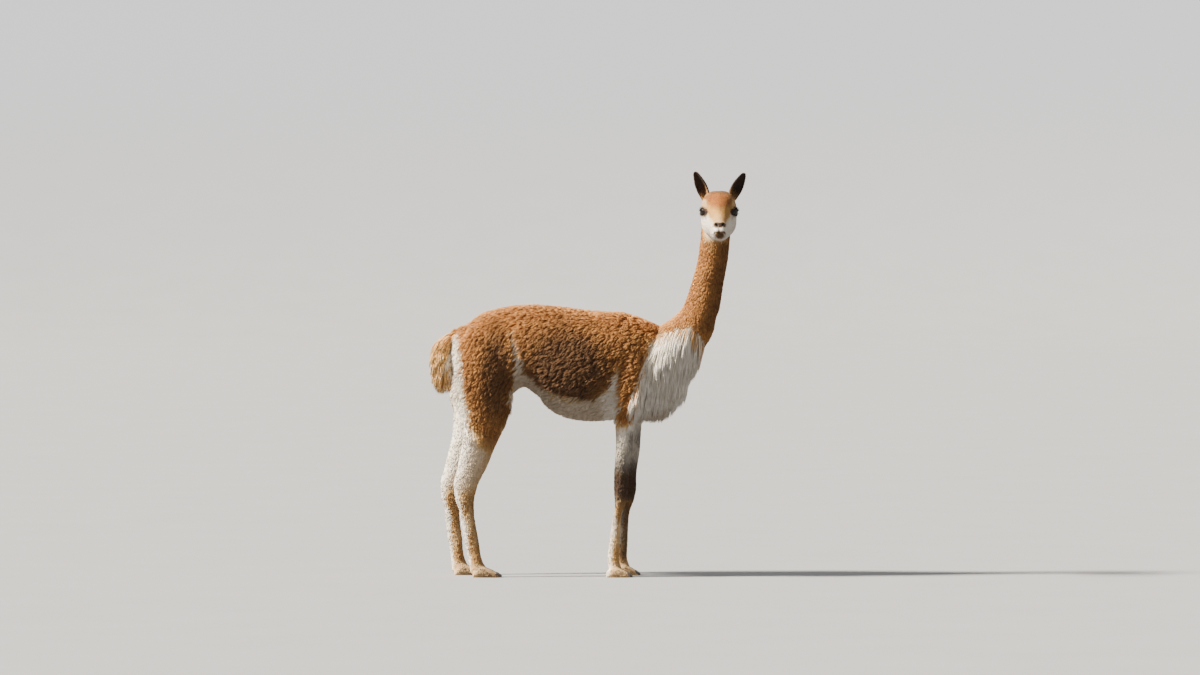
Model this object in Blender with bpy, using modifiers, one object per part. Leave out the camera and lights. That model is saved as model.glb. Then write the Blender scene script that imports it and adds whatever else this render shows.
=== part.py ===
"""Vicuna standing with its head turned to its right, as a still life-size model.

Metres, +Z up. The body faces +X, its left side is +Y and its soles rest on Z = 0.
Each table row is one cross-section, and the lofts run smoothly between the rows.
"""
import math
import random

import bmesh
import bpy
import numpy as np
from mathutils import Matrix, Vector

OBJECT_NAME = "vicuna"
GAP = 0.0003
LEFT = 1.0
RIGHT = -1.0

# How finely the whole animal is joined, and how many triangles its skin keeps
JOIN_VOXEL = 0.006
JOIN_SMOOTHING = 0.5
JOIN_SMOOTHING_PASSES = 6
BODY_TRIANGLES = 3000
HEAD_TRIANGLES = 800
RING_POINTS = 28
RINGS_PER_ROW = 5

# Where the model stands against the middle of its own box
SHIFT_X = 0.001
SHIFT_Y = 0.029

# Torso, rows of x, top, bottom, half width
TORSO_ROUNDNESS = 2.25
TORSO = (
    (-0.428, 0.728, 0.650, 0.040),
    (-0.404, 0.775, 0.590, 0.082),
    (-0.375, 0.7905, 0.560, 0.102),
    (-0.341, 0.817, 0.552, 0.114),
    (-0.310, 0.831, 0.550, 0.121),
    (-0.250, 0.844, 0.562, 0.125),
    (-0.200, 0.849, 0.584, 0.125),
    (-0.157, 0.849, 0.552, 0.128),
    (-0.130, 0.847, 0.521, 0.131),
    (-0.090, 0.8435, 0.499, 0.134),
    (-0.050, 0.8386, 0.487, 0.136),
    (0.003, 0.831, 0.482, 0.135),
    (0.056, 0.828, 0.484, 0.130),
    (0.105, 0.8245, 0.490, 0.122),
    (0.141, 0.8138, 0.497, 0.114),
    (0.174, 0.800, 0.505, 0.104),
    (0.208, 0.787, 0.520, 0.092),
    (0.240, 0.783, 0.550, 0.078),
    (0.275, 0.765, 0.600, 0.058),
)

# Chest and neck, rows of z, back, front, half width, y of the middle
NECK_ROUNDNESS = 2.1
NECK = (
    (0.515, 0.110, 0.215, 0.040, 0.0),
    (0.545, 0.090, 0.258, 0.066, 0.0),
    (0.590, 0.080, 0.288, 0.086, 0.0),
    (0.640, 0.080, 0.304, 0.094, 0.0),
    (0.690, 0.100, 0.335, 0.092, 0.0),
    (0.730, 0.150, 0.363, 0.084, 0.0),
    (0.766, 0.200, 0.387, 0.073, 0.0),
    (0.797, 0.247, 0.395, 0.063, 0.0),
    (0.828, 0.279, 0.403, 0.056, 0.0),
    (0.859, 0.2954, 0.409, 0.052, 0.0),
    (0.921, 0.316, 0.4185, 0.048, 0.0),
    (0.983, 0.332, 0.430, 0.046, 0.0),
    (1.045, 0.341, 0.436, 0.045, -0.002),
    (1.090, 0.347, 0.438, 0.045, -0.004),
    (1.130, 0.357, 0.436, 0.040, -0.008),
    (1.162, 0.368, 0.430, 0.028, -0.016),
)

# Head, rows of distance ahead of the eyes, top, bottom, half width, roundness
HEAD_X = 0.399
EYE_PLANE_Y = -0.062
HEAD = (
    (-0.085, 1.156, 1.095, 0.028, 2.2),
    (-0.064, 1.181, 1.062, 0.044, 2.5),
    (-0.040, 1.1925, 1.042, 0.052, 2.9),
    (-0.012, 1.1935, 1.033, 0.055, 3.0),
    (0.012, 1.185, 1.032, 0.050, 2.8),
    (0.032, 1.169, 1.033, 0.0415, 2.6),
    (0.054, 1.149, 1.034, 0.0350, 2.4),
    (0.076, 1.132, 1.035, 0.0305, 2.3),
    (0.096, 1.1185, 1.037, 0.0265, 2.3),
    (0.112, 1.108, 1.040, 0.0220, 2.2),
    (0.123, 1.098, 1.045, 0.0170, 2.1),
    (0.129, 1.087, 1.055, 0.0090, 2.0),
)
JAW_ROUNDNESS = 2.35
ORBIT_SIZE = (0.0165, 0.028, 0.023)
ORBIT_INSET = 0.005

# Legs of the right side, rows of z, back, front, half width, y of the middle
LEG_ROUNDNESS = 2.2
HIND_LEG = (
    (0.775, -0.370, -0.290, 0.022, 0.070),
    (0.740, -0.400, -0.256, 0.034, 0.080),
    (0.700, -0.417, -0.241, 0.043, 0.083),
    (0.640, -0.424, -0.234, 0.047, 0.084),
    (0.580, -0.412, -0.2325, 0.046, 0.081),
    (0.549, -0.407, -0.2335, 0.043, 0.079),
    (0.518, -0.399, -0.236, 0.041, 0.077),
    (0.487, -0.3945, -0.249, 0.038, 0.075),
    (0.456, -0.3937, -0.263, 0.035, 0.073),
    (0.425, -0.395, -0.281, 0.032, 0.071),
    (0.394, -0.401, -0.296, 0.028, 0.069),
    (0.363, -0.4077, -0.308, 0.025, 0.067),
    (0.332, -0.4139, -0.3215, 0.022, 0.066),
    (0.301, -0.4225, -0.338, 0.020, 0.065),
    (0.279, -0.4235, -0.347, 0.020, 0.064),
    (0.239, -0.4185, -0.3565, 0.0195, 0.063),
    (0.208, -0.4073, -0.357, 0.0165, 0.062),
    (0.177, -0.403, -0.354, 0.015, 0.062),
    (0.115, -0.392, -0.343, 0.015, 0.061),
    (0.075, -0.383, -0.3375, 0.0165, 0.060),
    (0.053, -0.379, -0.3317, 0.019, 0.060),
    (0.028, -0.3736, -0.320, 0.0205, 0.060),
    (0.012, -0.370, -0.312, 0.0205, 0.060),
)
FORE_LEG = (
    (0.760, 0.090, 0.160, 0.025, 0.058),
    (0.700, 0.062, 0.182, 0.044, 0.070),
    (0.600, 0.052, 0.178, 0.047, 0.078),
    (0.540, 0.060, 0.165, 0.041, 0.077),
    (0.500, 0.068, 0.152, 0.036, 0.072),
    (0.456, 0.0744, 0.140, 0.031, 0.068),
    (0.394, 0.0784, 0.1324, 0.026, 0.065),
    (0.335, 0.0735, 0.124, 0.022, 0.063),
    (0.301, 0.0725, 0.121, 0.021, 0.062),
    (0.270, 0.0725, 0.121, 0.0225, 0.062),
    (0.235, 0.075, 0.114, 0.021, 0.061),
    (0.208, 0.0745, 0.104, 0.017, 0.060),
    (0.177, 0.0667, 0.0977, 0.0145, 0.060),
    (0.115, 0.0589, 0.0949, 0.0145, 0.059),
    (0.075, 0.054, 0.093, 0.016, 0.058),
    (0.053, 0.0527, 0.0925, 0.0185, 0.058),
    (0.028, 0.057, 0.099, 0.020, 0.058),
    (0.012, 0.060, 0.100, 0.020, 0.058),
)
# The left legs stand apart from the right ones, rows of z, shift along x
HIND_STRIDE = ((0.0, -0.060), (0.28, -0.044), (0.55, -0.034), (0.75, 0.0))
FORE_STRIDE = ((0.0, 0.025), (0.45, 0.025), (0.66, 0.0))

# Feet, each of two toes, rows of share of its length, height, half width
TOE = (
    (0.00, 0.012, 0.0060),
    (0.12, 0.026, 0.0110),
    (0.35, 0.035, 0.0125),
    (0.62, 0.027, 0.0118),
    (0.85, 0.017, 0.0092),
    (1.00, 0.010, 0.0050),
)
TOE_SINK = 0.004
TOE_SPREAD = 0.0118
TOE_SPLAY = math.radians(4.0)
HIND_HEEL_X = -0.3625
HIND_FOOT_LENGTH = 0.084
HIND_FOOT_Y = 0.060
FORE_HEEL_X = 0.050
FORE_FOOT_LENGTH = 0.076
FORE_FOOT_Y = 0.058

# Nails, one on each toe, rows of share of the length, height, half width
NAIL_LENGTH = 0.027
NAIL_OVERHANG = 0.006
NAIL_FLOOR_CLEARANCE = 0.0012
NAIL_RINGS_PER_ROW = 1
NAIL_POINTS = 8
NAIL_ROUNDNESS = 2.2
NAIL = (
    (0.00, 0.0150, 0.0070),
    (0.40, 0.0140, 0.0074),
    (0.75, 0.0090, 0.0055),
    (1.00, 0.0035, 0.0020),
)

# Tail under its locks, rows of z, back, front, half width, y of the middle
TAIL_ROUNDNESS = 2.0
TAIL = (
    (0.766, -0.416, -0.374, 0.014, 0.0),
    (0.748, -0.436, -0.394, 0.019, 0.0),
    (0.728, -0.458, -0.414, 0.023, 0.0),
    (0.698, -0.471, -0.438, 0.026, 0.0),
    (0.665, -0.4745, -0.447, 0.025, 0.0),
    (0.630, -0.472, -0.450, 0.021, 0.0),
    (0.600, -0.464, -0.450, 0.012, 0.0),
)

# Eyes and lids
EYE_RADIUS = 0.0165
EYE_OFFSET_X = 0.0420
EYE_AHEAD = 0.009
EYE_Z = 1.131
EYE_SEGMENTS = 12
EYE_RINGS = 8
GAZE_OUT = math.radians(40.0)
LID_THICKNESS = 0.0028
LID_SEGMENTS = 12
LID_OPENING = (0.0142, 0.0108)
LID_OPENING_DEPTH = 0.016

# Ears, rows of share of the length, half width, depth of the cup
EAR_THICKNESS = 0.0035
EAR_STEPS_ACROSS = 6
EAR_RINGS_PER_ROW = 1
EAR = (
    (0.00, 0.0095, 0.0110),
    (0.20, 0.0138, 0.0140),
    (0.38, 0.0168, 0.0135),
    (0.55, 0.0168, 0.0112),
    (0.72, 0.0136, 0.0080),
    (0.86, 0.0092, 0.0050),
    (0.96, 0.0054, 0.0026),
    (1.00, 0.0024, 0.0012),
)
EAR_ROOT = (0.0345, -0.040, 1.158)
EAR_TIP = {RIGHT: (-0.0735, -0.036, 1.2535), LEFT: (0.0790, -0.036, 1.2495)}
EAR_FACING_OUT = math.radians(28.0)
EAR_ROLL = math.radians(205.0)

# Nostrils and mouth
NOSTRIL_AHEAD = 0.120
NOSTRIL_Z = 1.0925
NOSTRIL_OFFSET = 0.0105
NOSTRIL_SIZE = (0.0034, 0.0075, 0.0062)
NOSTRIL_SLANT = math.radians(35.0)
NOSTRIL_SEGMENTS = 10
MOUTH_GROOVE_RADIUS = 0.0022
MOUTH_OUTSET = 0.0006
LIP_RADIUS = 0.0036
LIP_SINK = 0.0018
MOUTH_RINGS_PER_ROW = 1
MOUTH_ROWS = ((0.086, 1.0600), (0.096, 1.0605), (0.107, 1.0620), (0.118, 1.0650), (0.128, 1.0695))

# Planes between the nodes, and the reach of each cut in its plane
CHEST_CUT_X = 0.040
HIP_CUT_X = -0.212
TRUNK_CUT_Z = 0.65
TRUNK_CUT_SIZE = 0.6
NECK_CUT_Z = 0.803
NECK_CUT_X = 0.333
NECK_CUT_LENGTH = 0.24
NECK_CUT_WIDTH = 0.4
HIND_LEG_CUT_Z = 0.452
HIND_FOOT_CUT_Z = 0.236
HIND_CUT_X = -0.36
HIND_CUT_LENGTH = 0.36
FORE_FOOT_CUT_Z = 0.212
FORE_FOOT_CUT_X = 0.10
FORE_FOOT_CUT_LENGTH = 0.3
BOTH_LEGS_WIDTH = 0.5
FORE_LEG_CUT_Z = 0.475
FORE_LEG_CUT_X = 0.103
FORE_LEG_CUT_Y = 0.08
FORE_LEG_CUT_LENGTH = 0.114
FORE_LEG_CUT_WIDTH = 0.15
THIGH_CUT = ((0.010, 0.517), (0.150, 0.770))
THIGH_CUT_LENGTH = 0.32
THIGH_MIDDLE_Y = 0.045
TAIL_CUT = (-0.430, 0.0, 0.728)
TAIL_CUT_HEIGHT = 0.145
TAIL_CUT_WIDTH = 0.12
TAIL_REACH_X = -0.44
THROAT_PLACE = (0.39, -0.005, 1.058)
THROAT_TILT = math.radians(40.0)
THROAT_BOX = 0.4
HEAD_MARGIN = 0.012
FLOOR_BOX = 1.4

# Small allowances
WELD = 0.00001
PUFF = 1.4

# Fleece, rounded clumps set close, sizes of the middle clump
FLEECE_DEPTH = 0.008
FLEECE_FADE = ((0.42, 0.0), (0.50, 1.0), (1.0, 1.0))
CLUMP_SPACING = 0.058
CLUMP_HALF_LENGTH = 0.049
CLUMP_HALF_WIDTH = 0.040
CLUMP_HALF_HEIGHT = 0.0190
CLUMP_RISE = 0.0085
CLUMP_LEAN = 0.6
CLUMP_SIZE_RANGE = (0.88, 1.12)
CLUMP_SEGMENTS = 7
CLUMP_RINGS = 4
CLUMP_SEED = 11
FLEECE_LIE = (-0.85, 0.0, -0.55)
FLEECE_OUTWARD = 0.15
# Lower edge of the fleece on the flank, rows of x, z
FLEECE_EDGE = (
    (-0.240, 0.530), (-0.212, 0.62), (-0.180, 0.625), (-0.143, 0.605), (-0.105, 0.570),
    (-0.050, 0.550), (0.015, 0.555), (0.045, 0.535), (0.140, 0.535),
)
# Front edge of the fleece at the shoulder, rows of z, x
SHOULDER_EDGE = (
    (0.515, 0.135), (0.573, 0.142), (0.626, 0.162), (0.667, 0.175), (0.710, 0.190),
    (0.756, 0.215), (0.770, 0.255), (0.800, 0.250), (0.815, 0.180),
)
# Strip under the tail, which wears no fleece
UNDER_TAIL_X = -0.395
UNDER_TAIL_HALF_WIDTH = 0.048
UNDER_TAIL_Z = 0.772

# Long hair, flat tapered locks, sizes of the middle lock
LOCK_SPACING = 0.041
LOCK_LENGTH = 0.135
LOCK_WIDTH = 0.046
LOCK_THICKNESS = 0.014
LOCK_SINK = 0.010
LOCK_SIZE_RANGE = (0.85, 1.15)
LOCK_SEED = 5
LOCK_FALL = (-0.22, 0.0, -1.0)
# Along a lock, rows of share of its length, share of its width, of its thickness, lift
LOCK_ROWS = (
    (0.00, 0.60, 1.00, -1.0),
    (0.25, 1.00, 1.00, 0.55),
    (0.62, 0.92, 0.90, 1.00),
    (1.00, 0.12, 0.12, 0.80),
)
LOCK_LIFT = 0.012
LONG_HAIR_TOP = ((0.0, 0.772), (0.30, 0.772), (0.75, 0.735), (1.0, 0.725))
LONG_HAIR_LOW = 0.500
LOCK_LENGTH_RANGE = (0.95, 1.05)
BIB_TIP_Z = 0.458
LEG_CLEAR_Z = 0.488
LEG_CLEAR_X = 0.012

# Long hair of the tail
TAIL_LOCK_LENGTH = 0.075
TAIL_LOCK_WIDTH = 0.034
TAIL_LOCK_THICKNESS = 0.012
TAIL_LOCK_LIFT = 0.004
TAIL_LOCK_SPACING = 0.034
TAIL_LOCK_TOP = 0.738
TAIL_TIP_Z = 0.560

# Surfaces, rows of colour, roughness, metallic value
FINISHES = {
    "fleece": ((0.50, 0.24, 0.09), 0.95, 0.0),
    "cream": ((0.78, 0.68, 0.55), 0.95, 0.0),
    "leg_coat": ((0.55, 0.38, 0.24), 0.9, 0.0),
    "ear_coat": ((0.05, 0.035, 0.03), 0.9, 0.0),
    "eye": ((0.01, 0.007, 0.006), 0.08, 0.0),
    "nail": ((0.05, 0.04, 0.035), 0.5, 0.0),
}


def clear_scene():
    """Removes what the file opened with."""
    for existing in list(bpy.data.objects):
        bpy.data.objects.remove(existing)


def new_collection(name):
    collection = bpy.data.collections.new(name)
    bpy.context.scene.collection.children.link(collection)
    return collection


def new_material(name):
    colour, roughness, metallic = FINISHES[name]
    material = bpy.data.materials.new(name)
    material.use_nodes = True
    shader = material.node_tree.nodes["Principled BSDF"]
    shader.inputs["Base Color"].default_value = (*colour, 1.0)
    shader.inputs["Roughness"].default_value = roughness
    shader.inputs["Metallic"].default_value = metallic
    return material


def new_object(name, mesh, collection):
    """An object in the collection, drawn as wire where that holds the cutters."""
    made = bpy.data.objects.new(name, mesh)
    collection.objects.link(made)
    if collection.hide_render:
        made.hide_render = True
        made.display_type = "WIRE"
    return made


def object_from_bmesh(name, shape, collection):
    mesh = bpy.data.meshes.new(name)
    shape.to_mesh(mesh)
    shape.free()
    return new_object(name, mesh, collection)


def smooth_rows(rows, rings_per_row):
    """Rows between the given ones, on a Catmull-Rom curve through them."""
    table = np.array(rows, dtype=float)
    padded = np.vstack([2 * table[0] - table[1], table, 2 * table[-1] - table[-2]])
    finer = []
    for index in range(1, len(padded) - 2):
        before, start, end, after = padded[index - 1:index + 3]
        for step in range(rings_per_row):
            t = step / rings_per_row
            finer.append(0.5 * (2 * start + (end - before) * t
                                + (2 * before - 5 * start + 4 * end - after) * t * t
                                + (3 * start - before - 3 * end + after) * t ** 3))
    finer.append(table[-1])
    return finer


def ring(middle, across, up, half_across, half_up, roundness, below=None, points=RING_POINTS):
    """One closed cross-section, an ellipse squared off by its roundness, above and below."""
    places = []
    for index in range(points):
        angle = 2 * math.pi * index / points
        cosine = math.cos(angle)
        sine = math.sin(angle)
        power = 2 / (below if below and sine < 0 else roundness)
        reach = math.copysign(abs(cosine) ** power, cosine) * half_across
        lift = math.copysign(abs(sine) ** power, sine) * half_up
        places.append(middle + across * reach + up * lift)
    return places


def add_loft(shape, rings):
    """Adds one closed body through the rings, with a cap at each end."""
    loops = [[shape.verts.new(place) for place in places] for places in rings]
    faces = []
    for lower, upper in zip(loops, loops[1:]):
        for index in range(len(lower)):
            following = (index + 1) % len(lower)
            faces.append(shape.faces.new((lower[index], lower[following],
                                          upper[following], upper[index])))
    faces.append(shape.faces.new(list(reversed(loops[0]))))
    faces.append(shape.faces.new(loops[-1]))
    bmesh.ops.recalc_face_normals(shape, faces=faces)


def along(rows, place):
    """Reads a value from rows of place, value."""
    return float(np.interp(place, [row[0] for row in rows], [row[1] for row in rows]))


def torso_rings():
    """The torso under its fleece, which stands out all round but for the belly."""
    rings = []
    for x, top, bottom, half_width in smooth_rows(TORSO, RINGS_PER_ROW):
        core_top = top - FLEECE_DEPTH
        middle = Vector((x, 0.0, (core_top + bottom) / 2))
        rings.append(ring(middle, Vector((0, 1, 0)), Vector((0, 0, 1)),
                          half_width - FLEECE_DEPTH, (core_top - bottom) / 2, TORSO_ROUNDNESS))
    return rings


def level_rings(rows, roundness):
    """Rings of a form whose cross-sections lie level."""
    rings = []
    for z, back, front, half_width, y in smooth_rows(rows, RINGS_PER_ROW):
        middle = Vector(((back + front) / 2, y, z))
        rings.append(ring(middle, Vector((1, 0, 0)), Vector((0, 1, 0)),
                          (front - back) / 2, half_width, roundness))
    return rings


def leg_rows(rows, stride, side):
    placed = []
    for z, back, front, half_width, y in rows:
        shift = along(stride, z) if side == LEFT else 0.0
        depth = FLEECE_DEPTH * along(FLEECE_FADE, z)
        placed.append((z, back + shift + depth, front + shift - depth, half_width - depth, y * side))
    return placed


def head_rings():
    rings = []
    for ahead, top, bottom, half_width, roundness in smooth_rows(HEAD, RINGS_PER_ROW):
        middle = Vector((HEAD_X, EYE_PLANE_Y - ahead, (top + bottom) / 2))
        rings.append(ring(middle, Vector((1, 0, 0)), Vector((0, 0, 1)),
                          half_width, (top - bottom) / 2, roundness, min(roundness, JAW_ROUNDNESS)))
    return rings


def feet():
    """Heel, length, y of the middle and name of each foot."""
    placed = []
    for side, word in ((LEFT, "left"), (RIGHT, "right")):
        hind_shift = along(HIND_STRIDE, 0.0) if side == LEFT else 0.0
        fore_shift = along(FORE_STRIDE, 0.0) if side == LEFT else 0.0
        placed.append((HIND_HEEL_X + hind_shift, HIND_FOOT_LENGTH, HIND_FOOT_Y * side, "hind_" + word))
        placed.append((FORE_HEEL_X + fore_shift, FORE_FOOT_LENGTH, FORE_FOOT_Y * side, "fore_" + word))
    return placed


def toes():
    """Frame of each toe at its heel, its foot's length and its name."""
    placed = []
    for heel_x, length, foot_y, name in feet():
        for toe_side, word in ((LEFT, "outer"), (RIGHT, "inner")):
            outward = toe_side if foot_y > 0 else -toe_side
            place = Vector((heel_x, foot_y + outward * TOE_SPREAD, 0.0))
            turn = Matrix.Rotation(outward * TOE_SPLAY, 4, "Z")
            placed.append((Matrix.Translation(place) @ turn, length, name + "_" + word))
    return placed


def toe_rings(frame, length):
    rings = []
    for share, height, half_width in smooth_rows(TOE, RINGS_PER_ROW):
        middle = Vector((share * length, 0.0, (height - TOE_SINK) / 2))
        places = ring(middle, Vector((0, 1, 0)), Vector((0, 0, 1)),
                      half_width, (height + TOE_SINK) / 2, TORSO_ROUNDNESS)
        rings.append([frame @ place for place in places])
    return rings


def add_orbits(shape):
    """Adds the bone round each eye, which carries the lids."""
    for side in (LEFT, RIGHT):
        inward = Vector((-side * ORBIT_INSET, 0, 0))
        place = Matrix.Translation(eye_middle(side) + inward) @ Matrix.Diagonal((*ORBIT_SIZE, 1.0))
        bmesh.ops.create_uvsphere(shape, u_segments=RING_POINTS, v_segments=RING_POINTS // 2,
                                  radius=1.0, matrix=place)


def whole_animal(collection):
    """One closed skin round the torso, neck, head, legs and tail."""
    shape = bmesh.new()
    add_loft(shape, torso_rings())
    add_loft(shape, level_rings(NECK, NECK_ROUNDNESS))
    add_loft(shape, head_rings())
    add_orbits(shape)
    add_loft(shape, level_rings(TAIL, TAIL_ROUNDNESS))
    for side in (LEFT, RIGHT):
        add_loft(shape, level_rings(leg_rows(HIND_LEG, HIND_STRIDE, side), LEG_ROUNDNESS))
        add_loft(shape, level_rings(leg_rows(FORE_LEG, FORE_STRIDE, side), LEG_ROUNDNESS))
    for frame, length, _ in toes():
        add_loft(shape, toe_rings(frame, length))
    animal = object_from_bmesh("whole", shape, collection)
    join = animal.modifiers.new("join", "REMESH")
    join.mode = "VOXEL"
    join.voxel_size = JOIN_VOXEL
    soften = animal.modifiers.new("soften", "SMOOTH")
    soften.factor = JOIN_SMOOTHING
    soften.iterations = JOIN_SMOOTHING_PASSES
    apply_modifiers(animal)
    return animal


def apply_modifiers(target):
    """Keeps the shape that the modifiers give, without them."""
    bpy.context.view_layer.update()
    graph = bpy.context.evaluated_depsgraph_get()
    made = bpy.data.meshes.new_from_object(target.evaluated_get(graph))
    target.modifiers.clear()
    target.data = made


def triangle_count(mesh):
    return sum(len(face.vertices) - 2 for face in mesh.polygons)


def thin_out(target, triangles):
    """Lowers the number of triangles and keeps the shape."""
    fewer = target.modifiers.new("fewer", "DECIMATE")
    fewer.ratio = triangles / triangle_count(target.data)
    apply_modifiers(target)


def copy_object(source, name, collection):
    return new_object(name, source.data.copy(), collection)


def box(name, middle, size, turn, collection):
    shape = bmesh.new()
    bmesh.ops.create_cube(shape, size=1.0)
    bmesh.ops.scale(shape, vec=size, verts=shape.verts)
    bmesh.ops.transform(shape, matrix=Matrix.Translation(middle) @ turn, verts=shape.verts)
    return object_from_bmesh(name, shape, collection)


def combine(target, pieces, operation):
    """Joins or cuts the target with a collection of closed pieces, which are then removed."""
    change = target.modifiers.new(operation, "BOOLEAN")
    change.operation = operation
    change.operand_type = "COLLECTION"
    change.collection = pieces
    change.solver = "MANIFOLD"
    apply_modifiers(target)
    for piece in list(pieces.objects):
        bpy.data.objects.remove(piece)


def islands(mesh):
    """Each closed surface of a mesh, as a shape of its own with its volume, largest first."""
    shape = bmesh.new()
    shape.from_mesh(mesh)
    remaining = set(shape.faces)
    found = []
    while remaining:
        patch = {remaining.pop()}
        edge_of_patch = list(patch)
        while edge_of_patch:
            face = edge_of_patch.pop()
            for edge in face.edges:
                for neighbour in edge.link_faces:
                    if neighbour in remaining:
                        remaining.remove(neighbour)
                        patch.add(neighbour)
                        edge_of_patch.append(neighbour)
        found.append(patch)
    pieces = []
    for patch in found:
        piece = bmesh.new()
        copies = {}
        for face in patch:
            for vertex in face.verts:
                if vertex not in copies:
                    copies[vertex] = piece.verts.new(vertex.co)
            piece.faces.new([copies[vertex] for vertex in face.verts])
        pieces.append((piece.calc_volume(signed=True), piece))
    shape.free()
    pieces.sort(key=lambda entry: entry[0], reverse=True)
    return pieces


def keep_largest(target):
    """Keeps only the closed surface of the largest volume."""
    pieces = islands(target.data)
    pieces[0][1].to_mesh(target.data)
    for _, piece in pieces:
        piece.free()


def slab(name, middle, size_along, size_across, normal_turn, collection):
    """A thin slab that parts two nodes by the gap."""
    return box(name, Vector(middle), Vector((size_along, size_across, GAP)), normal_turn, collection)


def throat_box(collection, offset):
    """A box whose underside is the plane between neck and head."""
    turn = Matrix.Rotation(THROAT_TILT, 4, "X")
    lift = Vector((0.0, 0.0, THROAT_BOX / 2 + offset))
    middle = Vector(THROAT_PLACE) + turn.to_3x3() @ lift
    return box("above_throat", middle, Vector((THROAT_BOX,) * 3), turn, collection)


def below_floor(collection):
    """A box under the floor, which leaves the soles flat and level."""
    return box("below_floor", Vector((0, 0, -FLOOR_BOX / 2)), Vector((FLOOR_BOX,) * 3),
               Matrix.Identity(4), collection)


def add_parting_slabs(collection):
    """The thin slabs that part the body into its nodes."""
    level = Matrix.Identity(4)
    upright = Matrix.Rotation(math.pi / 2, 4, "Y")
    for name, x in (("chest_cut", CHEST_CUT_X), ("hip_cut", HIP_CUT_X)):
        slab(name, (x, 0, TRUNK_CUT_Z), TRUNK_CUT_SIZE, TRUNK_CUT_SIZE, upright, collection)
    slab("neck_cut", (NECK_CUT_X, 0, NECK_CUT_Z), NECK_CUT_LENGTH, NECK_CUT_WIDTH, level, collection)
    for name, z in (("hind_leg_cut", HIND_LEG_CUT_Z), ("hind_foot_cut", HIND_FOOT_CUT_Z)):
        slab(name, (HIND_CUT_X, 0, z), HIND_CUT_LENGTH, BOTH_LEGS_WIDTH, level, collection)
    slab("fore_foot_cut", (FORE_FOOT_CUT_X, 0, FORE_FOOT_CUT_Z),
         FORE_FOOT_CUT_LENGTH, BOTH_LEGS_WIDTH, level, collection)
    for side in (LEFT, RIGHT):
        shift = along(FORE_STRIDE, FORE_LEG_CUT_Z) if side == LEFT else 0.0
        slab("fore_leg_cut", (FORE_LEG_CUT_X + shift, FORE_LEG_CUT_Y * side, FORE_LEG_CUT_Z),
             FORE_LEG_CUT_LENGTH, FORE_LEG_CUT_WIDTH, level, collection)
        inner, outer = (Vector((0, y * side, z)) for y, z in THIGH_CUT)
        middle = (inner + outer) / 2
        rise = outer - inner
        turn = Matrix.Rotation(math.atan2(rise.z, rise.y), 4, "X")
        back = HIP_CUT_X - THIGH_CUT_LENGTH
        slab("thigh_cut", ((HIP_CUT_X + back) / 2, middle.y, middle.z),
             THIGH_CUT_LENGTH, rise.length, turn, collection)
    slab("tail_cut", TAIL_CUT, TAIL_CUT_HEIGHT, TAIL_CUT_WIDTH, upright, collection)


def node_name(middle):
    """Name of the node whose middle lies here."""
    side = "left" if middle.y > 0 else "right"
    if middle.x < 0:
        if middle.z < HIND_FOOT_CUT_Z:
            return "hind_foot_" + side
        if middle.z < HIND_LEG_CUT_Z:
            return "hind_shank_" + side
    elif middle.z < FORE_FOOT_CUT_Z:
        return "fore_foot_" + side
    elif middle.z < FORE_LEG_CUT_Z:
        return "foreleg_" + side
    if middle.z > NECK_CUT_Z:
        return "neck"
    if middle.x > CHEST_CUT_X:
        return "chest"
    if middle.x > HIP_CUT_X:
        return "barrel"
    if middle.x < TAIL_REACH_X:
        return "tail"
    return "thigh_" + side if abs(middle.y) > THIGH_MIDDLE_Y else "hips"


def middle_of(shape):
    places = [vertex.co for vertex in shape.verts]
    return sum(places, Vector()) / len(places)


def part_body(body, cutters, collection):
    """Parts the body with the slabs and keeps the largest closed surface of each node."""
    add_parting_slabs(cutters)
    combine(body, cutters, "DIFFERENCE")
    made = {}
    for volume, piece in islands(body.data):
        name = node_name(middle_of(piece))
        if volume > 0 and name not in made:
            made[name] = object_from_bmesh(name, piece, collection)
        else:
            piece.free()
    bpy.data.objects.remove(body)
    return made


def scatter(source, wears, spacing, seed):
    """Places and normals spread evenly over the part of a skin that wears something."""
    draw = random.Random(seed)
    order = list(range(len(source.data.vertices)))
    draw.shuffle(order)
    taken = {}
    chosen = []
    for index in order:
        vertex = source.data.vertices[index]
        place = vertex.co.copy()
        normal = vertex.normal.copy()
        if not wears(place, normal):
            continue
        cell = tuple(int(math.floor(value / spacing)) for value in place)
        near = (other for dx in (-1, 0, 1) for dy in (-1, 0, 1) for dz in (-1, 0, 1)
                for other in taken.get((cell[0] + dx, cell[1] + dy, cell[2] + dz), ()))
        if any((other - place).length < spacing for other in near):
            continue
        taken.setdefault(cell, []).append(place)
        chosen.append((place, normal))
    return chosen


def wears_fleece(place, normal):
    """Back, flanks, rump, shoulders and the outside of the thighs."""
    if place.x > along(SHOULDER_EDGE, place.z) or place.z < along(FLEECE_EDGE, place.x):
        return False
    outward = normal.y * math.copysign(1.0, place.y)
    if place.x > HIP_CUT_X:
        return outward > FLEECE_OUTWARD or normal.z > 0
    under_tail = (place.x < UNDER_TAIL_X and abs(place.y) < UNDER_TAIL_HALF_WIDTH
                  and place.z < UNDER_TAIL_Z)
    return not under_tail and (outward > FLEECE_OUTWARD or normal.z > FLEECE_OUTWARD)


def wears_long_hair(place, normal):
    """Throat of the chest, its sides and the brisket, ahead of the shoulders."""
    if place.x < along(SHOULDER_EDGE, place.z) + LOCK_WIDTH / 4:
        return False
    return LONG_HAIR_LOW < place.z < along(LONG_HAIR_TOP, max(normal.x, 0.0))


def wears_tail_hair(place, normal):
    return place.x < TAIL_CUT[0] - LOCK_SINK and place.z < TAIL_LOCK_TOP


def along_skin(direction, normal):
    """The direction, turned to lie along the skin."""
    flat = direction - normal * direction.dot(normal)
    return flat.normalized()


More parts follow.
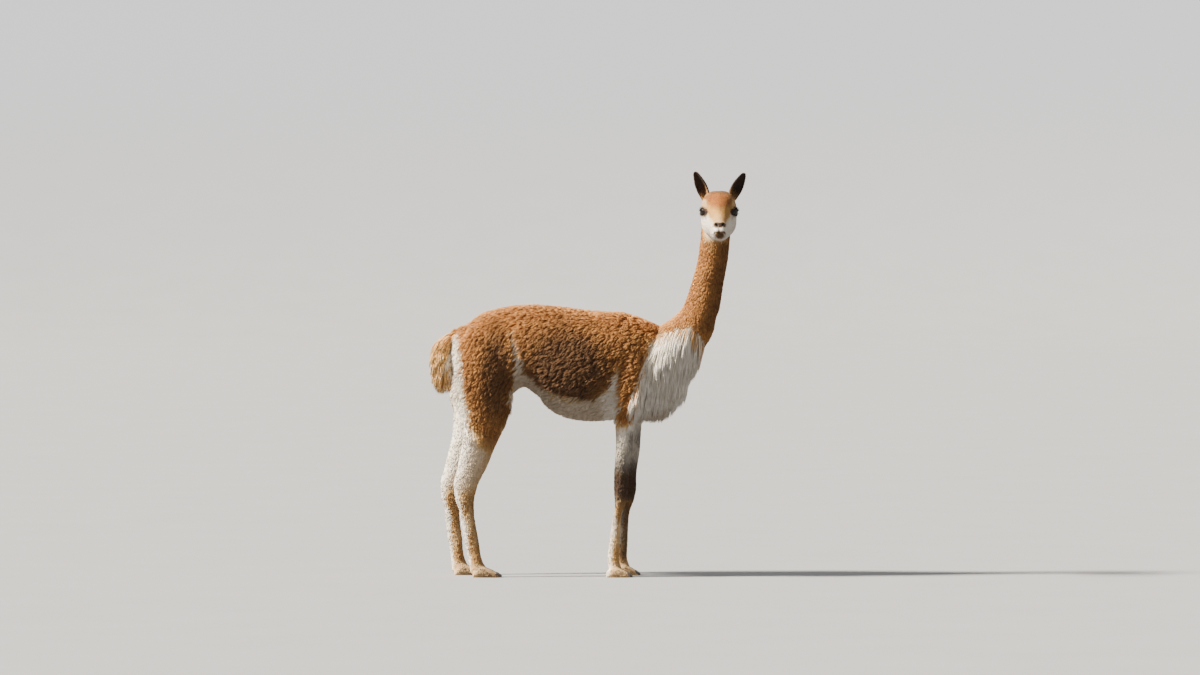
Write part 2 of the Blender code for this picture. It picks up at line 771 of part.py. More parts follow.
def add_clumps(skin, collection):
    draw = random.Random(CLUMP_SEED)
    for place, normal in scatter(skin, wears_fleece, CLUMP_SPACING, CLUMP_SEED):
        lie = along_skin(Vector(FLEECE_LIE), normal)
        axes = Matrix((lie, normal.cross(lie), normal)).transposed().to_4x4()
        lean = Matrix.Identity(4)
        lean[0][2] = CLUMP_LEAN
        size = draw.uniform(*CLUMP_SIZE_RANGE)
        depth = CLUMP_HALF_HEIGHT - CLUMP_RISE
        ellipsoid("clump", place - normal * depth,
                  Vector((CLUMP_HALF_LENGTH * size, CLUMP_HALF_WIDTH * size, CLUMP_HALF_HEIGHT)),
                  axes @ lean, collection, CLUMP_SEGMENTS, CLUMP_RINGS)


def near_foreleg(place):
    """Whether a lock's tip here would meet a foreleg below the chest."""
    shift = along(FORE_STRIDE, FORE_LEG_CUT_Z) if place.y > 0 else 0.0
    return place.x < FORE_LEG_CUT_X + shift + FORE_LEG_CUT_LENGTH / 2 + LEG_CLEAR_X


def lock_path(root, normal, length, lift):
    """Spine of a lock, which leaves the skin and bends down."""
    lie = along_skin(Vector(LOCK_FALL), normal)
    fall = Vector(LOCK_FALL).normalized()
    steps = []
    place = root.copy()
    last = 0.0
    for share, _, _, rise in LOCK_ROWS:
        heading = lie.lerp(fall, share).normalized()
        place = place + heading * length * (share - last)
        last = share
        reach = -LOCK_SINK if rise < 0 else lift * rise
        steps.append(place + normal * reach)
    return steps


def add_lock(root, normal, length, width, thickness, lift, collection):
    """One flat, tapered lock with its root in the skin."""
    spine = lock_path(root, normal, length, lift)
    rings = []
    for index, (_, wide, thick, _) in enumerate(LOCK_ROWS):
        following = spine[min(index + 1, len(spine) - 1)]
        previous = spine[max(index - 1, 0)]
        heading = (following - previous).normalized()
        across = heading.cross(normal).normalized()
        outward = across.cross(heading).normalized()
        rings.append([spine[index] + across * width / 2 * wide * math.cos(angle)
                      + outward * thickness / 2 * thick * math.sin(angle)
                      for angle in (0, math.pi / 2, math.pi, 3 * math.pi / 2)])
    shape = bmesh.new()
    add_loft(shape, rings)
    object_from_bmesh("lock", shape, collection)


def add_bib(skin, collection):
    draw = random.Random(LOCK_SEED)
    for root, normal in scatter(skin, wears_long_hair, LOCK_SPACING, LOCK_SEED):
        size = draw.uniform(*LOCK_SIZE_RANGE)
        length = min(LOCK_LENGTH * size, (root.z - BIB_TIP_Z) * draw.uniform(*LOCK_LENGTH_RANGE))
        tip = lock_path(root, normal, length, LOCK_LIFT)[-1]
        if tip.z < LEG_CLEAR_Z and near_foreleg(tip):
            length = root.z - LEG_CLEAR_Z
        if length < LOCK_WIDTH:
            continue
        add_lock(root, normal, length, LOCK_WIDTH * size, LOCK_THICKNESS, LOCK_LIFT, collection)


def add_tail_locks(skin, collection):
    draw = random.Random(LOCK_SEED)
    for root, normal in scatter(skin, wears_tail_hair, TAIL_LOCK_SPACING, LOCK_SEED):
        size = draw.uniform(*LOCK_SIZE_RANGE)
        length = min(TAIL_LOCK_LENGTH * size, root.z - TAIL_TIP_Z)
        if length > TAIL_LOCK_WIDTH:
            add_lock(root, normal, length, TAIL_LOCK_WIDTH * size, TAIL_LOCK_THICKNESS,
                     TAIL_LOCK_LIFT, collection)


def ellipsoid(name, middle, half_sizes, turn, collection, segments, rings):
    shape = bmesh.new()
    bmesh.ops.create_uvsphere(shape, u_segments=segments, v_segments=rings, radius=1.0)
    bmesh.ops.scale(shape, vec=half_sizes, verts=shape.verts)
    bmesh.ops.transform(shape, matrix=Matrix.Translation(middle) @ turn, verts=shape.verts)
    return object_from_bmesh(name, shape, collection)


def eye_middle(side):
    return Vector((HEAD_X + side * EYE_OFFSET_X, EYE_PLANE_Y - EYE_AHEAD, EYE_Z))


def gaze_turn(side):
    """Turns +Z to the way the eye looks and keeps +Y level."""
    return (Matrix.Rotation(side * GAZE_OUT - math.pi / 2, 4, "Z")
            @ Matrix.Rotation(math.pi / 2, 4, "Y"))


def tube(name, places, radius, collection):
    """A round closed tube along the places, as a mesh."""
    curve = bpy.data.curves.new(name, "CURVE")
    curve.dimensions = "3D"
    curve.bevel_depth = radius
    curve.bevel_resolution = 0
    curve.use_fill_caps = True
    spline = curve.splines.new("POLY")
    spline.points.add(len(places) - 1)
    for point, place in zip(spline.points, places):
        point.co = (*place, 1.0)
    guide = new_object(name, curve, collection)
    bpy.context.view_layer.update()
    graph = bpy.context.evaluated_depsgraph_get()
    mesh = bpy.data.meshes.new_from_object(guide.evaluated_get(graph))
    bpy.data.objects.remove(guide)
    shape = bmesh.new()
    shape.from_mesh(mesh)
    bmesh.ops.remove_doubles(shape, verts=shape.verts, dist=WELD)
    bmesh.ops.recalc_face_normals(shape, faces=shape.faces)
    return object_from_bmesh(name, shape, collection)


def mouth_line(lift, outset):
    """Places round the muzzle at the mouth's height, from one side to the other."""
    half = []
    for ahead, z in smooth_rows(MOUTH_ROWS, MOUTH_RINGS_PER_ROW):
        top = along([(row[0], row[1]) for row in HEAD], ahead)
        bottom = along([(row[0], row[2]) for row in HEAD], ahead)
        half_width = along([(row[0], row[3]) for row in HEAD], ahead)
        roundness = along([(row[0], row[4]) for row in HEAD], ahead)
        level = abs(z + lift - (top + bottom) / 2) / ((top - bottom) / 2)
        reach = half_width * (1 - min(level, 1.0) ** roundness) ** (1 / roundness)
        half.append((max(reach + outset, 0.0), EYE_PLANE_Y - ahead, z + lift))
    right = [Vector((HEAD_X - reach, y, z)) for reach, y, z in half]
    left = [Vector((HEAD_X + reach, y, z)) for reach, y, z in reversed(half)]
    return right + left


def make_head(whole, cutters, collection):
    """The head with lids, sockets, lips, the line of the mouth and nostrils."""
    head = copy_object(whole, "head", collection)
    throat_box(cutters, -HEAD_MARGIN)
    combine(head, cutters, "INTERSECT")
    thin_out(head, HEAD_TRIANGLES)
    throat_box(cutters, GAP / 2)
    combine(head, cutters, "INTERSECT")
    for side in (LEFT, RIGHT):
        ellipsoid("lids", eye_middle(side), Vector((EYE_RADIUS + LID_THICKNESS,) * 3),
                  gaze_turn(side), cutters, LID_SEGMENTS, LID_SEGMENTS // 2)
    for lift in (LIP_RADIUS, -LIP_RADIUS):
        tube("lip", mouth_line(lift, -LIP_SINK), LIP_RADIUS, cutters)
    combine(head, cutters, "UNION")
    for side in (LEFT, RIGHT):
        ellipsoid("socket", eye_middle(side), Vector((EYE_RADIUS + GAP,) * 3),
                  gaze_turn(side), cutters, EYE_SEGMENTS, EYE_RINGS)
        outward = gaze_turn(side).to_3x3() @ Vector((0, 0, LID_OPENING_DEPTH))
        opening_size = Vector((LID_OPENING[1], LID_OPENING[0], LID_OPENING_DEPTH))
        ellipsoid("opening", eye_middle(side) + outward, opening_size,
                  gaze_turn(side), cutters, LID_SEGMENTS, LID_SEGMENTS // 2)
        place = Vector((HEAD_X + side * NOSTRIL_OFFSET, EYE_PLANE_Y - NOSTRIL_AHEAD, NOSTRIL_Z))
        ellipsoid("nostril", place, Vector(NOSTRIL_SIZE), Matrix.Rotation(side * NOSTRIL_SLANT, 4, "Y"),
                  cutters, NOSTRIL_SEGMENTS, NOSTRIL_SEGMENTS // 2)
    tube("mouth", mouth_line(0.0, MOUTH_OUTSET), MOUTH_GROOVE_RADIUS, cutters)
    combine(head, cutters, "DIFFERENCE")
    keep_largest(head)
    return head


def make_eye(side, name, collection):
    return ellipsoid(name, eye_middle(side), Vector((EYE_RADIUS,) * 3), gaze_turn(side),
                     collection, EYE_SEGMENTS, EYE_RINGS)


def puffed(source, name, collection):
    """A copy that stands out from the source by the gap."""
    copy = copy_object(source, name, collection)
    swell = copy.modifiers.new("swell", "DISPLACE")
    swell.strength = GAP * PUFF
    swell.mid_level = 0.0
    apply_modifiers(copy)
    return copy


def make_ear(side, name, head, cutters, collection):
    """A cup that opens forward and outward, on the skin of the head."""
    middle = Vector((HEAD_X, EYE_PLANE_Y, 0.0))
    root = middle + Vector((EAR_ROOT[0] * side, -EAR_ROOT[1], EAR_ROOT[2]))
    tip = middle + Vector((EAR_TIP[side][0], -EAR_TIP[side][1], EAR_TIP[side][2]))
    rise = (tip - root).normalized()
    facing = Vector((side * math.sin(EAR_FACING_OUT), -math.cos(EAR_FACING_OUT), 0))
    facing = (facing - rise * facing.dot(rise)).normalized()
    across = rise.cross(facing)
    shape = bmesh.new()
    rows = []
    for share, half_width, depth in smooth_rows(EAR, EAR_RINGS_PER_ROW):
        spine = root.lerp(tip, share)
        row = []
        for step in range(EAR_STEPS_ACROSS + 1):
            angle = (step / EAR_STEPS_ACROSS - 0.5) * EAR_ROLL
            place = (spine + across * half_width * math.sin(angle)
                     - facing * depth * (math.cos(angle) - math.cos(EAR_ROLL / 2)))
            row.append(shape.verts.new(place))
        rows.append(row)
    for lower, upper in zip(rows, rows[1:]):
        for index in range(EAR_STEPS_ACROSS):
            shape.faces.new((lower[index], lower[index + 1], upper[index + 1], upper[index]))
    ear = object_from_bmesh(name, shape, collection)
    shell = ear.modifiers.new("shell", "SOLIDIFY")
    shell.thickness = EAR_THICKNESS
    shell.offset = 0.0
    apply_modifiers(ear)
    puffed(head, "head_clearance", cutters)
    combine(ear, cutters, "DIFFERENCE")
    keep_largest(ear)
    return ear


def make_nails(made, cutters, collection):
    """A blunt nail over the front of each toe, which the toe leaves room for."""
    nails = {}
    for frame, length, name in toes():
        rings = []
        for share, height, half_width in smooth_rows(NAIL, NAIL_RINGS_PER_ROW):
            x = length + NAIL_OVERHANG - NAIL_LENGTH * (1 - share)
            middle = Vector((x, 0.0, NAIL_FLOOR_CLEARANCE + height / 2))
            places = ring(middle, Vector((0, 1, 0)), Vector((0, 0, 1)),
                          half_width, height / 2, NAIL_ROUNDNESS, points=NAIL_POINTS)
            rings.append([frame @ place for place in places])
        shape = bmesh.new()
        add_loft(shape, rings)
        nail = object_from_bmesh("nail_" + name, shape, collection)
        nails[nail.name] = nail
        foot = made[name.split("_")[0] + "_foot_" + name.split("_")[1]]
        puffed(nail, "nail_clearance", cutters)
        combine(foot, cutters, "DIFFERENCE")
        keep_largest(foot)
    return nails


def finish_of(name):
    if name.startswith("nail"):
        return "nail"
    if name.startswith("eye"):
        return "eye"
    if name.startswith("ear"):
        return "ear_coat"
    if "foot" in name or "shank" in name or "foreleg" in name:
        return "leg_coat"
    if name == "chest":
        return "cream"
    return "fleece"


def main():
    clear_scene()
    animal = new_collection(OBJECT_NAME)
    cutters = new_collection("cutters")
    cutters.hide_render = True
    whole = whole_animal(animal)
    body = copy_object(whole, "body", animal)
    thin_out(body, BODY_TRIANGLES)
    add_clumps(whole, cutters)
    add_bib(whole, cutters)
    add_tail_locks(whole, cutters)
    combine(body, cutters, "UNION")
    throat_box(cutters, -GAP / 2)
    below_floor(cutters)
    combine(body, cutters, "DIFFERENCE")
    made = part_body(body, cutters, animal)
    head = make_head(whole, cutters, animal)
    bpy.data.objects.remove(whole)
    made["head"] = head
    for side, word in ((LEFT, "left"), (RIGHT, "right")):
        made["ear_" + word] = make_ear(side, "ear_" + word, head, cutters, animal)
        made["eye_" + word] = make_eye(side, "eye_" + word, animal)
    made.update(make_nails(made, cutters, animal))
    finishes = {name: new_material(name) for name in FINISHES}
    shift = Vector((SHIFT_X, SHIFT_Y, 0.0))
    for name, node in made.items():
        node.data.materials.clear()
        node.data.materials.append(finishes[finish_of(name)])
        node.location = shift


main()
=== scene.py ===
"""Looks of a vicuna standing with its head turned to its right: one skin, its coat, eyes and nails.

Metres, +Z up. The body faces +X, its left side is +Y and its soles rest on Z = 0.
"""
import math
from collections import namedtuple

import bmesh
import bpy
import numpy as np
from mathutils import Matrix, Vector, kdtree


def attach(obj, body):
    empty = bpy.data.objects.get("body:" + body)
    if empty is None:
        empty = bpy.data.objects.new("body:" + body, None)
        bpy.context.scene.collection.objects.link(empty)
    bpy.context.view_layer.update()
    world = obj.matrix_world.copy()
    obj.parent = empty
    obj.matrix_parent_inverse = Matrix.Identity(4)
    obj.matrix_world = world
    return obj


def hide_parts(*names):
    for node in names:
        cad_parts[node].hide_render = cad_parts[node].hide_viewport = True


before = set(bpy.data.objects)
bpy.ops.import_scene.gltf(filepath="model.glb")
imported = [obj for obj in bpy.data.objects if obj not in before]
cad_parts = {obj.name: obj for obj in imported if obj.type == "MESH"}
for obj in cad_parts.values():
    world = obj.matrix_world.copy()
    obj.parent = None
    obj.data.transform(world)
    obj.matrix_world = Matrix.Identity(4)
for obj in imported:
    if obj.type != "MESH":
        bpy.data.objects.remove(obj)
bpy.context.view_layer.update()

GAP = 0.0003
LEFT = 1.0
RIGHT = -1.0
SIDES = ((LEFT, "left"), (RIGHT, "right"))
SHIFT = (0.001, 0.029, 0.0)
AHEAD = Vector((1, 0, 0))
ASIDE = Vector((0, 1, 0))
UP = Vector((0, 0, 1))
QUICK_SHARE = 1.0

# How finely the skin is joined and kept
JOIN_VOXEL = 0.0032
JOIN_SMOOTHING = 0.5
JOIN_SMOOTHING_PASSES = 10
SKIN_TRIANGLES = 150000
THIN_LEVELS = 6
THIN_STRENGTH = 4.0
RING_POINTS = 32
RINGS_PER_ROW = 6

# Torso, rows of x, top, bottom, half width
TORSO_ROUNDNESS = 2.25
TORSO = (
    (-0.428, 0.728, 0.650, 0.040),
    (-0.404, 0.775, 0.590, 0.082),
    (-0.375, 0.7905, 0.560, 0.102),
    (-0.341, 0.817, 0.552, 0.114),
    (-0.310, 0.831, 0.550, 0.121),
    (-0.250, 0.844, 0.562, 0.125),
    (-0.200, 0.849, 0.584, 0.125),
    (-0.157, 0.849, 0.552, 0.128),
    (-0.130, 0.847, 0.521, 0.131),
    (-0.090, 0.8435, 0.499, 0.134),
    (-0.050, 0.8386, 0.487, 0.136),
    (0.003, 0.831, 0.482, 0.135),
    (0.056, 0.828, 0.484, 0.130),
    (0.105, 0.8245, 0.490, 0.122),
    (0.141, 0.8138, 0.497, 0.114),
    (0.174, 0.800, 0.505, 0.104),
    (0.208, 0.787, 0.520, 0.092),
    (0.240, 0.783, 0.550, 0.078),
    (0.275, 0.765, 0.600, 0.058),
)

# Chest and neck, rows of z, back, front, half width, y of the middle
NECK_ROUNDNESS = 2.1
NECK = (
    (0.515, 0.110, 0.215, 0.040, 0.0),
    (0.545, 0.090, 0.258, 0.066, 0.0),
    (0.590, 0.080, 0.293, 0.086, 0.0),
    (0.640, 0.080, 0.315, 0.094, 0.0),
    (0.690, 0.100, 0.346, 0.092, 0.0),
    (0.730, 0.150, 0.370, 0.084, 0.0),
    (0.766, 0.200, 0.384, 0.073, 0.0),
    (0.797, 0.247, 0.392, 0.063, 0.0),
    (0.828, 0.279, 0.403, 0.056, 0.0),
    (0.859, 0.2954, 0.409, 0.052, 0.0),
    (0.921, 0.316, 0.4185, 0.048, 0.0),
    (0.983, 0.332, 0.430, 0.046, 0.0),
    (1.045, 0.341, 0.436, 0.045, -0.002),
    (1.090, 0.347, 0.438, 0.045, -0.004),
    (1.130, 0.357, 0.436, 0.040, -0.008),
    (1.162, 0.368, 0.430, 0.028, -0.016),
)

# Head, rows of distance ahead of the eyes, top, bottom, half width, roundness
HEAD_X = 0.399
EYE_PLANE_Y = -0.062
HEAD = (
    (-0.085, 1.156, 1.095, 0.028, 2.2),
    (-0.064, 1.181, 1.062, 0.044, 2.5),
    (-0.040, 1.1945, 1.045, 0.052, 2.9),
    (-0.012, 1.1960, 1.037, 0.055, 3.0),
    (0.012, 1.185, 1.037, 0.050, 2.8),
    (0.032, 1.169, 1.038, 0.0415, 2.6),
    (0.054, 1.149, 1.040, 0.0350, 2.4),
    (0.076, 1.132, 1.042, 0.0305, 2.3),
    (0.096, 1.1185, 1.044, 0.0265, 2.3),
    (0.112, 1.108, 1.047, 0.0220, 2.2),
    (0.123, 1.098, 1.051, 0.0170, 2.1),
    (0.129, 1.087, 1.058, 0.0090, 2.0),
)
JAW_ROUNDNESS = 2.35
JAW_TAPER = 0.56
JAW_TAPER_POWER = 3.4
JAW_TAPER_FADE = (0.050, 0.090)
ORBIT_SIZE = (0.0165, 0.028, 0.023)
ORBIT_INSET = 0.005

# Legs of the right side, rows of z, back, front, half width, y of the middle
LEG_ROUNDNESS = 2.2
HIND_LEG = (
    (0.775, -0.370, -0.290, 0.022, 0.070),
    (0.740, -0.400, -0.256, 0.034, 0.080),
    (0.700, -0.417, -0.241, 0.043, 0.083),
    (0.640, -0.424, -0.234, 0.047, 0.084),
    (0.580, -0.412, -0.2325, 0.046, 0.081),
    (0.549, -0.407, -0.2335, 0.043, 0.079),
    (0.518, -0.399, -0.236, 0.041, 0.077),
    (0.487, -0.3945, -0.249, 0.038, 0.075),
    (0.456, -0.3937, -0.263, 0.035, 0.073),
    (0.425, -0.395, -0.281, 0.032, 0.071),
    (0.394, -0.401, -0.296, 0.028, 0.069),
    (0.363, -0.4077, -0.308, 0.025, 0.067),
    (0.332, -0.4139, -0.3215, 0.022, 0.066),
    (0.301, -0.4225, -0.338, 0.020, 0.065),
    (0.279, -0.4235, -0.347, 0.020, 0.064),
    (0.239, -0.4185, -0.3565, 0.0195, 0.063),
    (0.208, -0.4073, -0.357, 0.0165, 0.062),
    (0.177, -0.403, -0.354, 0.015, 0.062),
    (0.115, -0.392, -0.343, 0.015, 0.061),
    (0.075, -0.383, -0.3375, 0.0165, 0.060),
    (0.053, -0.379, -0.3317, 0.019, 0.060),
    (0.028, -0.3736, -0.320, 0.0205, 0.060),
    (0.012, -0.370, -0.312, 0.0205, 0.060),
)
FORE_LEG = (
    (0.760, 0.090, 0.160, 0.025, 0.058),
    (0.700, 0.062, 0.182, 0.044, 0.070),
    (0.600, 0.052, 0.178, 0.047, 0.078),
    (0.540, 0.060, 0.165, 0.041, 0.077),
    (0.500, 0.068, 0.152, 0.036, 0.072),
    (0.456, 0.0744, 0.140, 0.031, 0.068),
    (0.394, 0.0784, 0.1324, 0.026, 0.065),
    (0.335, 0.0735, 0.124, 0.022, 0.063),
    (0.301, 0.0725, 0.121, 0.021, 0.062),
    (0.270, 0.0725, 0.121, 0.0225, 0.062),
    (0.235, 0.075, 0.114, 0.021, 0.061),
    (0.208, 0.0745, 0.104, 0.017, 0.060),
    (0.177, 0.0667, 0.0977, 0.0145, 0.060),
    (0.115, 0.0589, 0.0949, 0.0145, 0.059),
    (0.075, 0.054, 0.093, 0.016, 0.058),
    (0.053, 0.0527, 0.0925, 0.0185, 0.058),
    (0.028, 0.057, 0.099, 0.020, 0.058),
    (0.012, 0.060, 0.100, 0.020, 0.058),
)
# The left legs stand apart from the right ones, rows of z, shift along x
HIND_STRIDE = ((0.0, -0.060), (0.28, -0.044), (0.55, -0.034), (0.75, 0.0))
FORE_STRIDE = ((0.0, 0.025), (0.45, 0.025), (0.66, 0.0))

# Feet, each of two toes, rows of share of its length, height, half width
TOE = (
    (0.00, 0.012, 0.0060),
    (0.12, 0.026, 0.0110),
    (0.35, 0.035, 0.0125),
    (0.62, 0.027, 0.0118),
    (0.85, 0.017, 0.0092),
    (1.00, 0.010, 0.0050),
)
TOE_SINK = 0.004
TOE_SPREAD = 0.0118
TOE_SPLAY = math.radians(4.0)
HIND_HEEL_X = -0.3625
HIND_FOOT_LENGTH = 0.084
HIND_FOOT_Y = 0.060
FORE_HEEL_X = 0.050
FORE_FOOT_LENGTH = 0.076
FORE_FOOT_Y = 0.058

# Nails, one on each toe, rows of share of the length, height, half width
NAIL_LENGTH = 0.027
NAIL_OVERHANG = 0.006
NAIL_FLOOR_CLEARANCE = 0.0012
NAIL_RINGS_PER_ROW = 5
NAIL_POINTS = 24
NAIL_ROUNDNESS = 2.2
NAIL = (
    (0.00, 0.0150, 0.0070),
    (0.40, 0.0140, 0.0074),
    (0.75, 0.0090, 0.0055),
    (1.00, 0.0035, 0.0020),
)

# Tail under its locks, rows of z, back, front, half width, y of the middle
TAIL_ROUNDNESS = 2.0
TAIL = (
    (0.766, -0.416, -0.374, 0.014, 0.0),
    (0.748, -0.436, -0.390, 0.020, 0.0),
    (0.728, -0.458, -0.405, 0.025, 0.0),
    (0.698, -0.471, -0.428, 0.028, 0.0),
    (0.665, -0.4745, -0.438, 0.027, 0.0),
    (0.630, -0.472, -0.443, 0.022, 0.0),
    (0.600, -0.464, -0.447, 0.013, 0.0),
)

# Eyes and lids
EYE_RADIUS = 0.0165
EYE_OFFSET_X = 0.0420
EYE_AHEAD = 0.009
EYE_Z = 1.131
EYE_SEGMENTS = 48
GAZE_OUT = math.radians(40.0)
LID_THICKNESS = 0.0026
LID_OPENING = (0.0142, 0.0108)
LID_OPENING_DEPTH = 0.016
CUT_SEGMENTS = 40

# Ears, rows of share of the length, half width, depth of the cup
EAR_SKIN = 0.0022
EAR_STEPS_ACROSS = 18
EAR_RINGS_PER_ROW = 5
EAR = (
    (0.00, 0.0095, 0.0110),
    (0.20, 0.0138, 0.0140),
    (0.38, 0.0168, 0.0135),
    (0.55, 0.0168, 0.0112),
    (0.72, 0.0136, 0.0080),
    (0.86, 0.0092, 0.0050),
    (0.96, 0.0052, 0.0024),
    (1.00, 0.0016, 0.0008),
)
EAR_ROOT = (0.0345, -0.040, 1.158)
EAR_TIP = {RIGHT: (-0.0735, -0.036, 1.2535), LEFT: (0.0790, -0.036, 1.2495)}
EAR_FACING_OUT = math.radians(28.0)
EAR_ROLL = math.radians(205.0)

# Nostrils and mouth
NOSTRIL_AHEAD = 0.120
NOSTRIL_Z = 1.0925
NOSTRIL_OFFSET = 0.0098
NOSTRIL_SIZE = (0.0030, 0.0075, 0.0062)
NOSTRIL_SLANT = math.radians(35.0)
MOUTH_GROOVE_RADIUS = 0.0010
MOUTH_OUTSET = 0.0002
LIP_RADIUS = 0.0034
LIP_SINK = 0.0018
MOUTH_RINGS_PER_ROW = 6
TUBE_POINTS = 12
MOUTH_ROWS = ((0.092, 1.0590), (0.100, 1.0600), (0.109, 1.0620), (0.119, 1.0655), (0.128, 1.0705))

# Coat over the solids' core, and the plane between neck and head
FLEECE_DEPTH = 0.008
FLEECE_FADE = ((0.42, 0.0), (0.50, 1.0), (1.0, 1.0))
THROAT_PLACE = (0.39, -0.005, 1.058)
THROAT_TILT = math.radians(40.0)
HEAD_FADE = (-0.010, 0.025)
HEAD_RISE = (0.95, 1.0)
HEAD_FINE = (0.0, 0.03)
FOOT_FINE = (0.08, 0.04)

# How deep the skin sinks under the surface of the solids where hair is short
SINK = 0.0008
NECK_SINK = 0.0034
LEG_SINK = 0.0016
BELLY_SINK = 0.0050
HEAD_SINK = 0.0010
NECK_FADE = (0.76, 0.82)
LEG_FADE = (0.50, 0.42)
BELLY_FADE = (0.2, 0.7)
SOLE_FADE = (0.0, 0.05)


def smooth_rows(rows, rings_per_row):
    """Rows between the given ones, on a Catmull-Rom curve through them."""
    table = np.array(rows, dtype=float)
    padded = np.vstack([2 * table[0] - table[1], table, 2 * table[-1] - table[-2]])
    finer = []
    for index in range(1, len(padded) - 2):
        before, start, end, after = padded[index - 1:index + 3]
        for step in range(rings_per_row):
            t = step / rings_per_row
            finer.append(0.5 * (2 * start + (end - before) * t
                                + (2 * before - 5 * start + 4 * end - after) * t * t
                                + (3 * start - before - 3 * end + after) * t ** 3))
    finer.append(table[-1])
    return finer


def along(rows, place, column=1):
    """Reads one column of rows that begin with their place."""
    return np.interp(place, [row[0] for row in rows], [row[column] for row in rows])


def ease(low, high, value):
    """Rises smoothly from 0 at low to 1 at high."""
    share = np.clip((value - low) / (high - low), 0.0, 1.0)
    return share * share * (3 - 2 * share)


def graded(grade, value):
    """Rises from the least by the gain between start and end."""
    least, gain, start, end = grade
    return least + gain * ease(start, end, value)


def new_object(name, data):
    made = bpy.data.objects.new(name, data)
    bpy.context.scene.collection.objects.link(made)
    return made


def object_from_bmesh(name, shape):
    mesh = bpy.data.meshes.new(name)
    shape.to_mesh(mesh)
    shape.free()
    return new_object(name, mesh)


def shade_smooth(mesh):
    mesh.polygons.foreach_set("use_smooth", np.ones(len(mesh.polygons), dtype=bool))


def add_marks(mesh, colour):
    layer = mesh.color_attributes.new("marks", "FLOAT_COLOR", "POINT")
    layer.data.foreach_set("color", colour.astype(np.float32).ravel())


def apply_modifiers(target):
    """Keeps the shape that the modifiers give, without them."""
    bpy.context.view_layer.update()
    graph = bpy.context.evaluated_depsgraph_get()
    made = bpy.data.meshes.new_from_object(target.evaluated_get(graph))
    target.modifiers.clear()
    target.data = made


def combine(target, pieces, operation):
    """Joins or cuts the target with closed pieces, which are then removed."""
    group = bpy.data.collections.new(operation)
    bpy.context.scene.collection.children.link(group)
    for piece in pieces:
        group.objects.link(piece)
    change = target.modifiers.new(operation, "BOOLEAN")
    change.operation = operation
    change.operand_type = "COLLECTION"
    change.collection = group
    change.solver = "MANIFOLD"
    apply_modifiers(target)
    for piece in pieces:
        bpy.data.objects.remove(piece)
    bpy.data.collections.remove(group)


def ring(middle, across, up, half_across, half_up, roundness, below=None, points=RING_POINTS):
    """One closed cross-section, an ellipse squared off by its roundness, above and below."""
    places = []
    for index in range(points):
        angle = 2 * math.pi * index / points
        cosine = math.cos(angle)
        sine = math.sin(angle)
        power = 2 / (below if below and sine < 0 else roundness)
        reach = math.copysign(abs(cosine) ** power, cosine) * half_across
        lift = math.copysign(abs(sine) ** power, sine) * half_up
        places.append(middle + across * reach + up * lift)
    return places


def bridge(shape, rows, closed=True):
    """Adds the faces between rows of corners that follow each other."""
    faces = []
    for lower, upper in zip(rows, rows[1:]):
        for index in range(len(lower) if closed else len(lower) - 1):
            following = (index + 1) % len(lower)
            faces.append(shape.faces.new((lower[index], lower[following],
                                          upper[following], upper[index])))
    return faces


def add_loft(shape, rings):
    """Adds one closed body through the rings, with a cap at each end."""
    loops = [[shape.verts.new(place) for place in places] for places in rings]
    faces = bridge(shape, loops)
    faces.append(shape.faces.new(list(reversed(loops[0]))))
    faces.append(shape.faces.new(loops[-1]))
    bmesh.ops.recalc_face_normals(shape, faces=faces)


def torso_rings():
    rings = []
    for x, top, bottom, half_width in smooth_rows(TORSO, RINGS_PER_ROW):
        core_top = top - FLEECE_DEPTH
        middle = Vector((x, 0.0, (core_top + bottom) / 2))
        rings.append(ring(middle, ASIDE, UP, half_width - FLEECE_DEPTH,
                          (core_top - bottom) / 2, TORSO_ROUNDNESS))
    return rings


def level_rings(rows, roundness):
    """Rings of a form whose cross-sections lie level."""
    rings = []
    for z, back, front, half_width, y in smooth_rows(rows, RINGS_PER_ROW):
        middle = Vector(((back + front) / 2, y, z))
        rings.append(ring(middle, AHEAD, ASIDE, (front - back) / 2, half_width, roundness))
    return rings


def leg_rows(rows, stride, side):
    placed = []
    for z, back, front, half_width, y in rows:
        shift = along(stride, z) if side == LEFT else 0.0
        depth = FLEECE_DEPTH * along(FLEECE_FADE, z)
        placed.append((z, back + shift + depth, front + shift - depth, half_width - depth, y * side))
    return placed


def head_rings():
    rings = []
    for ahead, top, bottom, half_width, roundness in smooth_rows(HEAD, RINGS_PER_ROW):
        middle = Vector((HEAD_X, EYE_PLANE_Y - ahead, (top + bottom) / 2))
        half_height = (top - bottom) / 2
        places = ring(middle, AHEAD, UP, half_width, half_height, roundness,
                      min(roundness, JAW_ROUNDNESS))
        taper = JAW_TAPER * (1 - float(ease(*JAW_TAPER_FADE, ahead)))
        for place in places:
            depth = max(0.0, (middle.z - place.z) / half_height)
            place.x = HEAD_X + (place.x - HEAD_X) * (1 - taper * depth ** JAW_TAPER_POWER)
        rings.append(places)
    return rings


def feet():
    """Heel, length, y of the middle and name of each foot."""
    placed = []
    for side, word in SIDES:
        for name, heel_x, length, y, stride in (
                ("hind_", HIND_HEEL_X, HIND_FOOT_LENGTH, HIND_FOOT_Y, HIND_STRIDE),
                ("fore_", FORE_HEEL_X, FORE_FOOT_LENGTH, FORE_FOOT_Y, FORE_STRIDE)):
            shift = along(stride, 0.0) if side == LEFT else 0.0
            placed.append((heel_x + shift, length, y * side, name + word))
    return placed


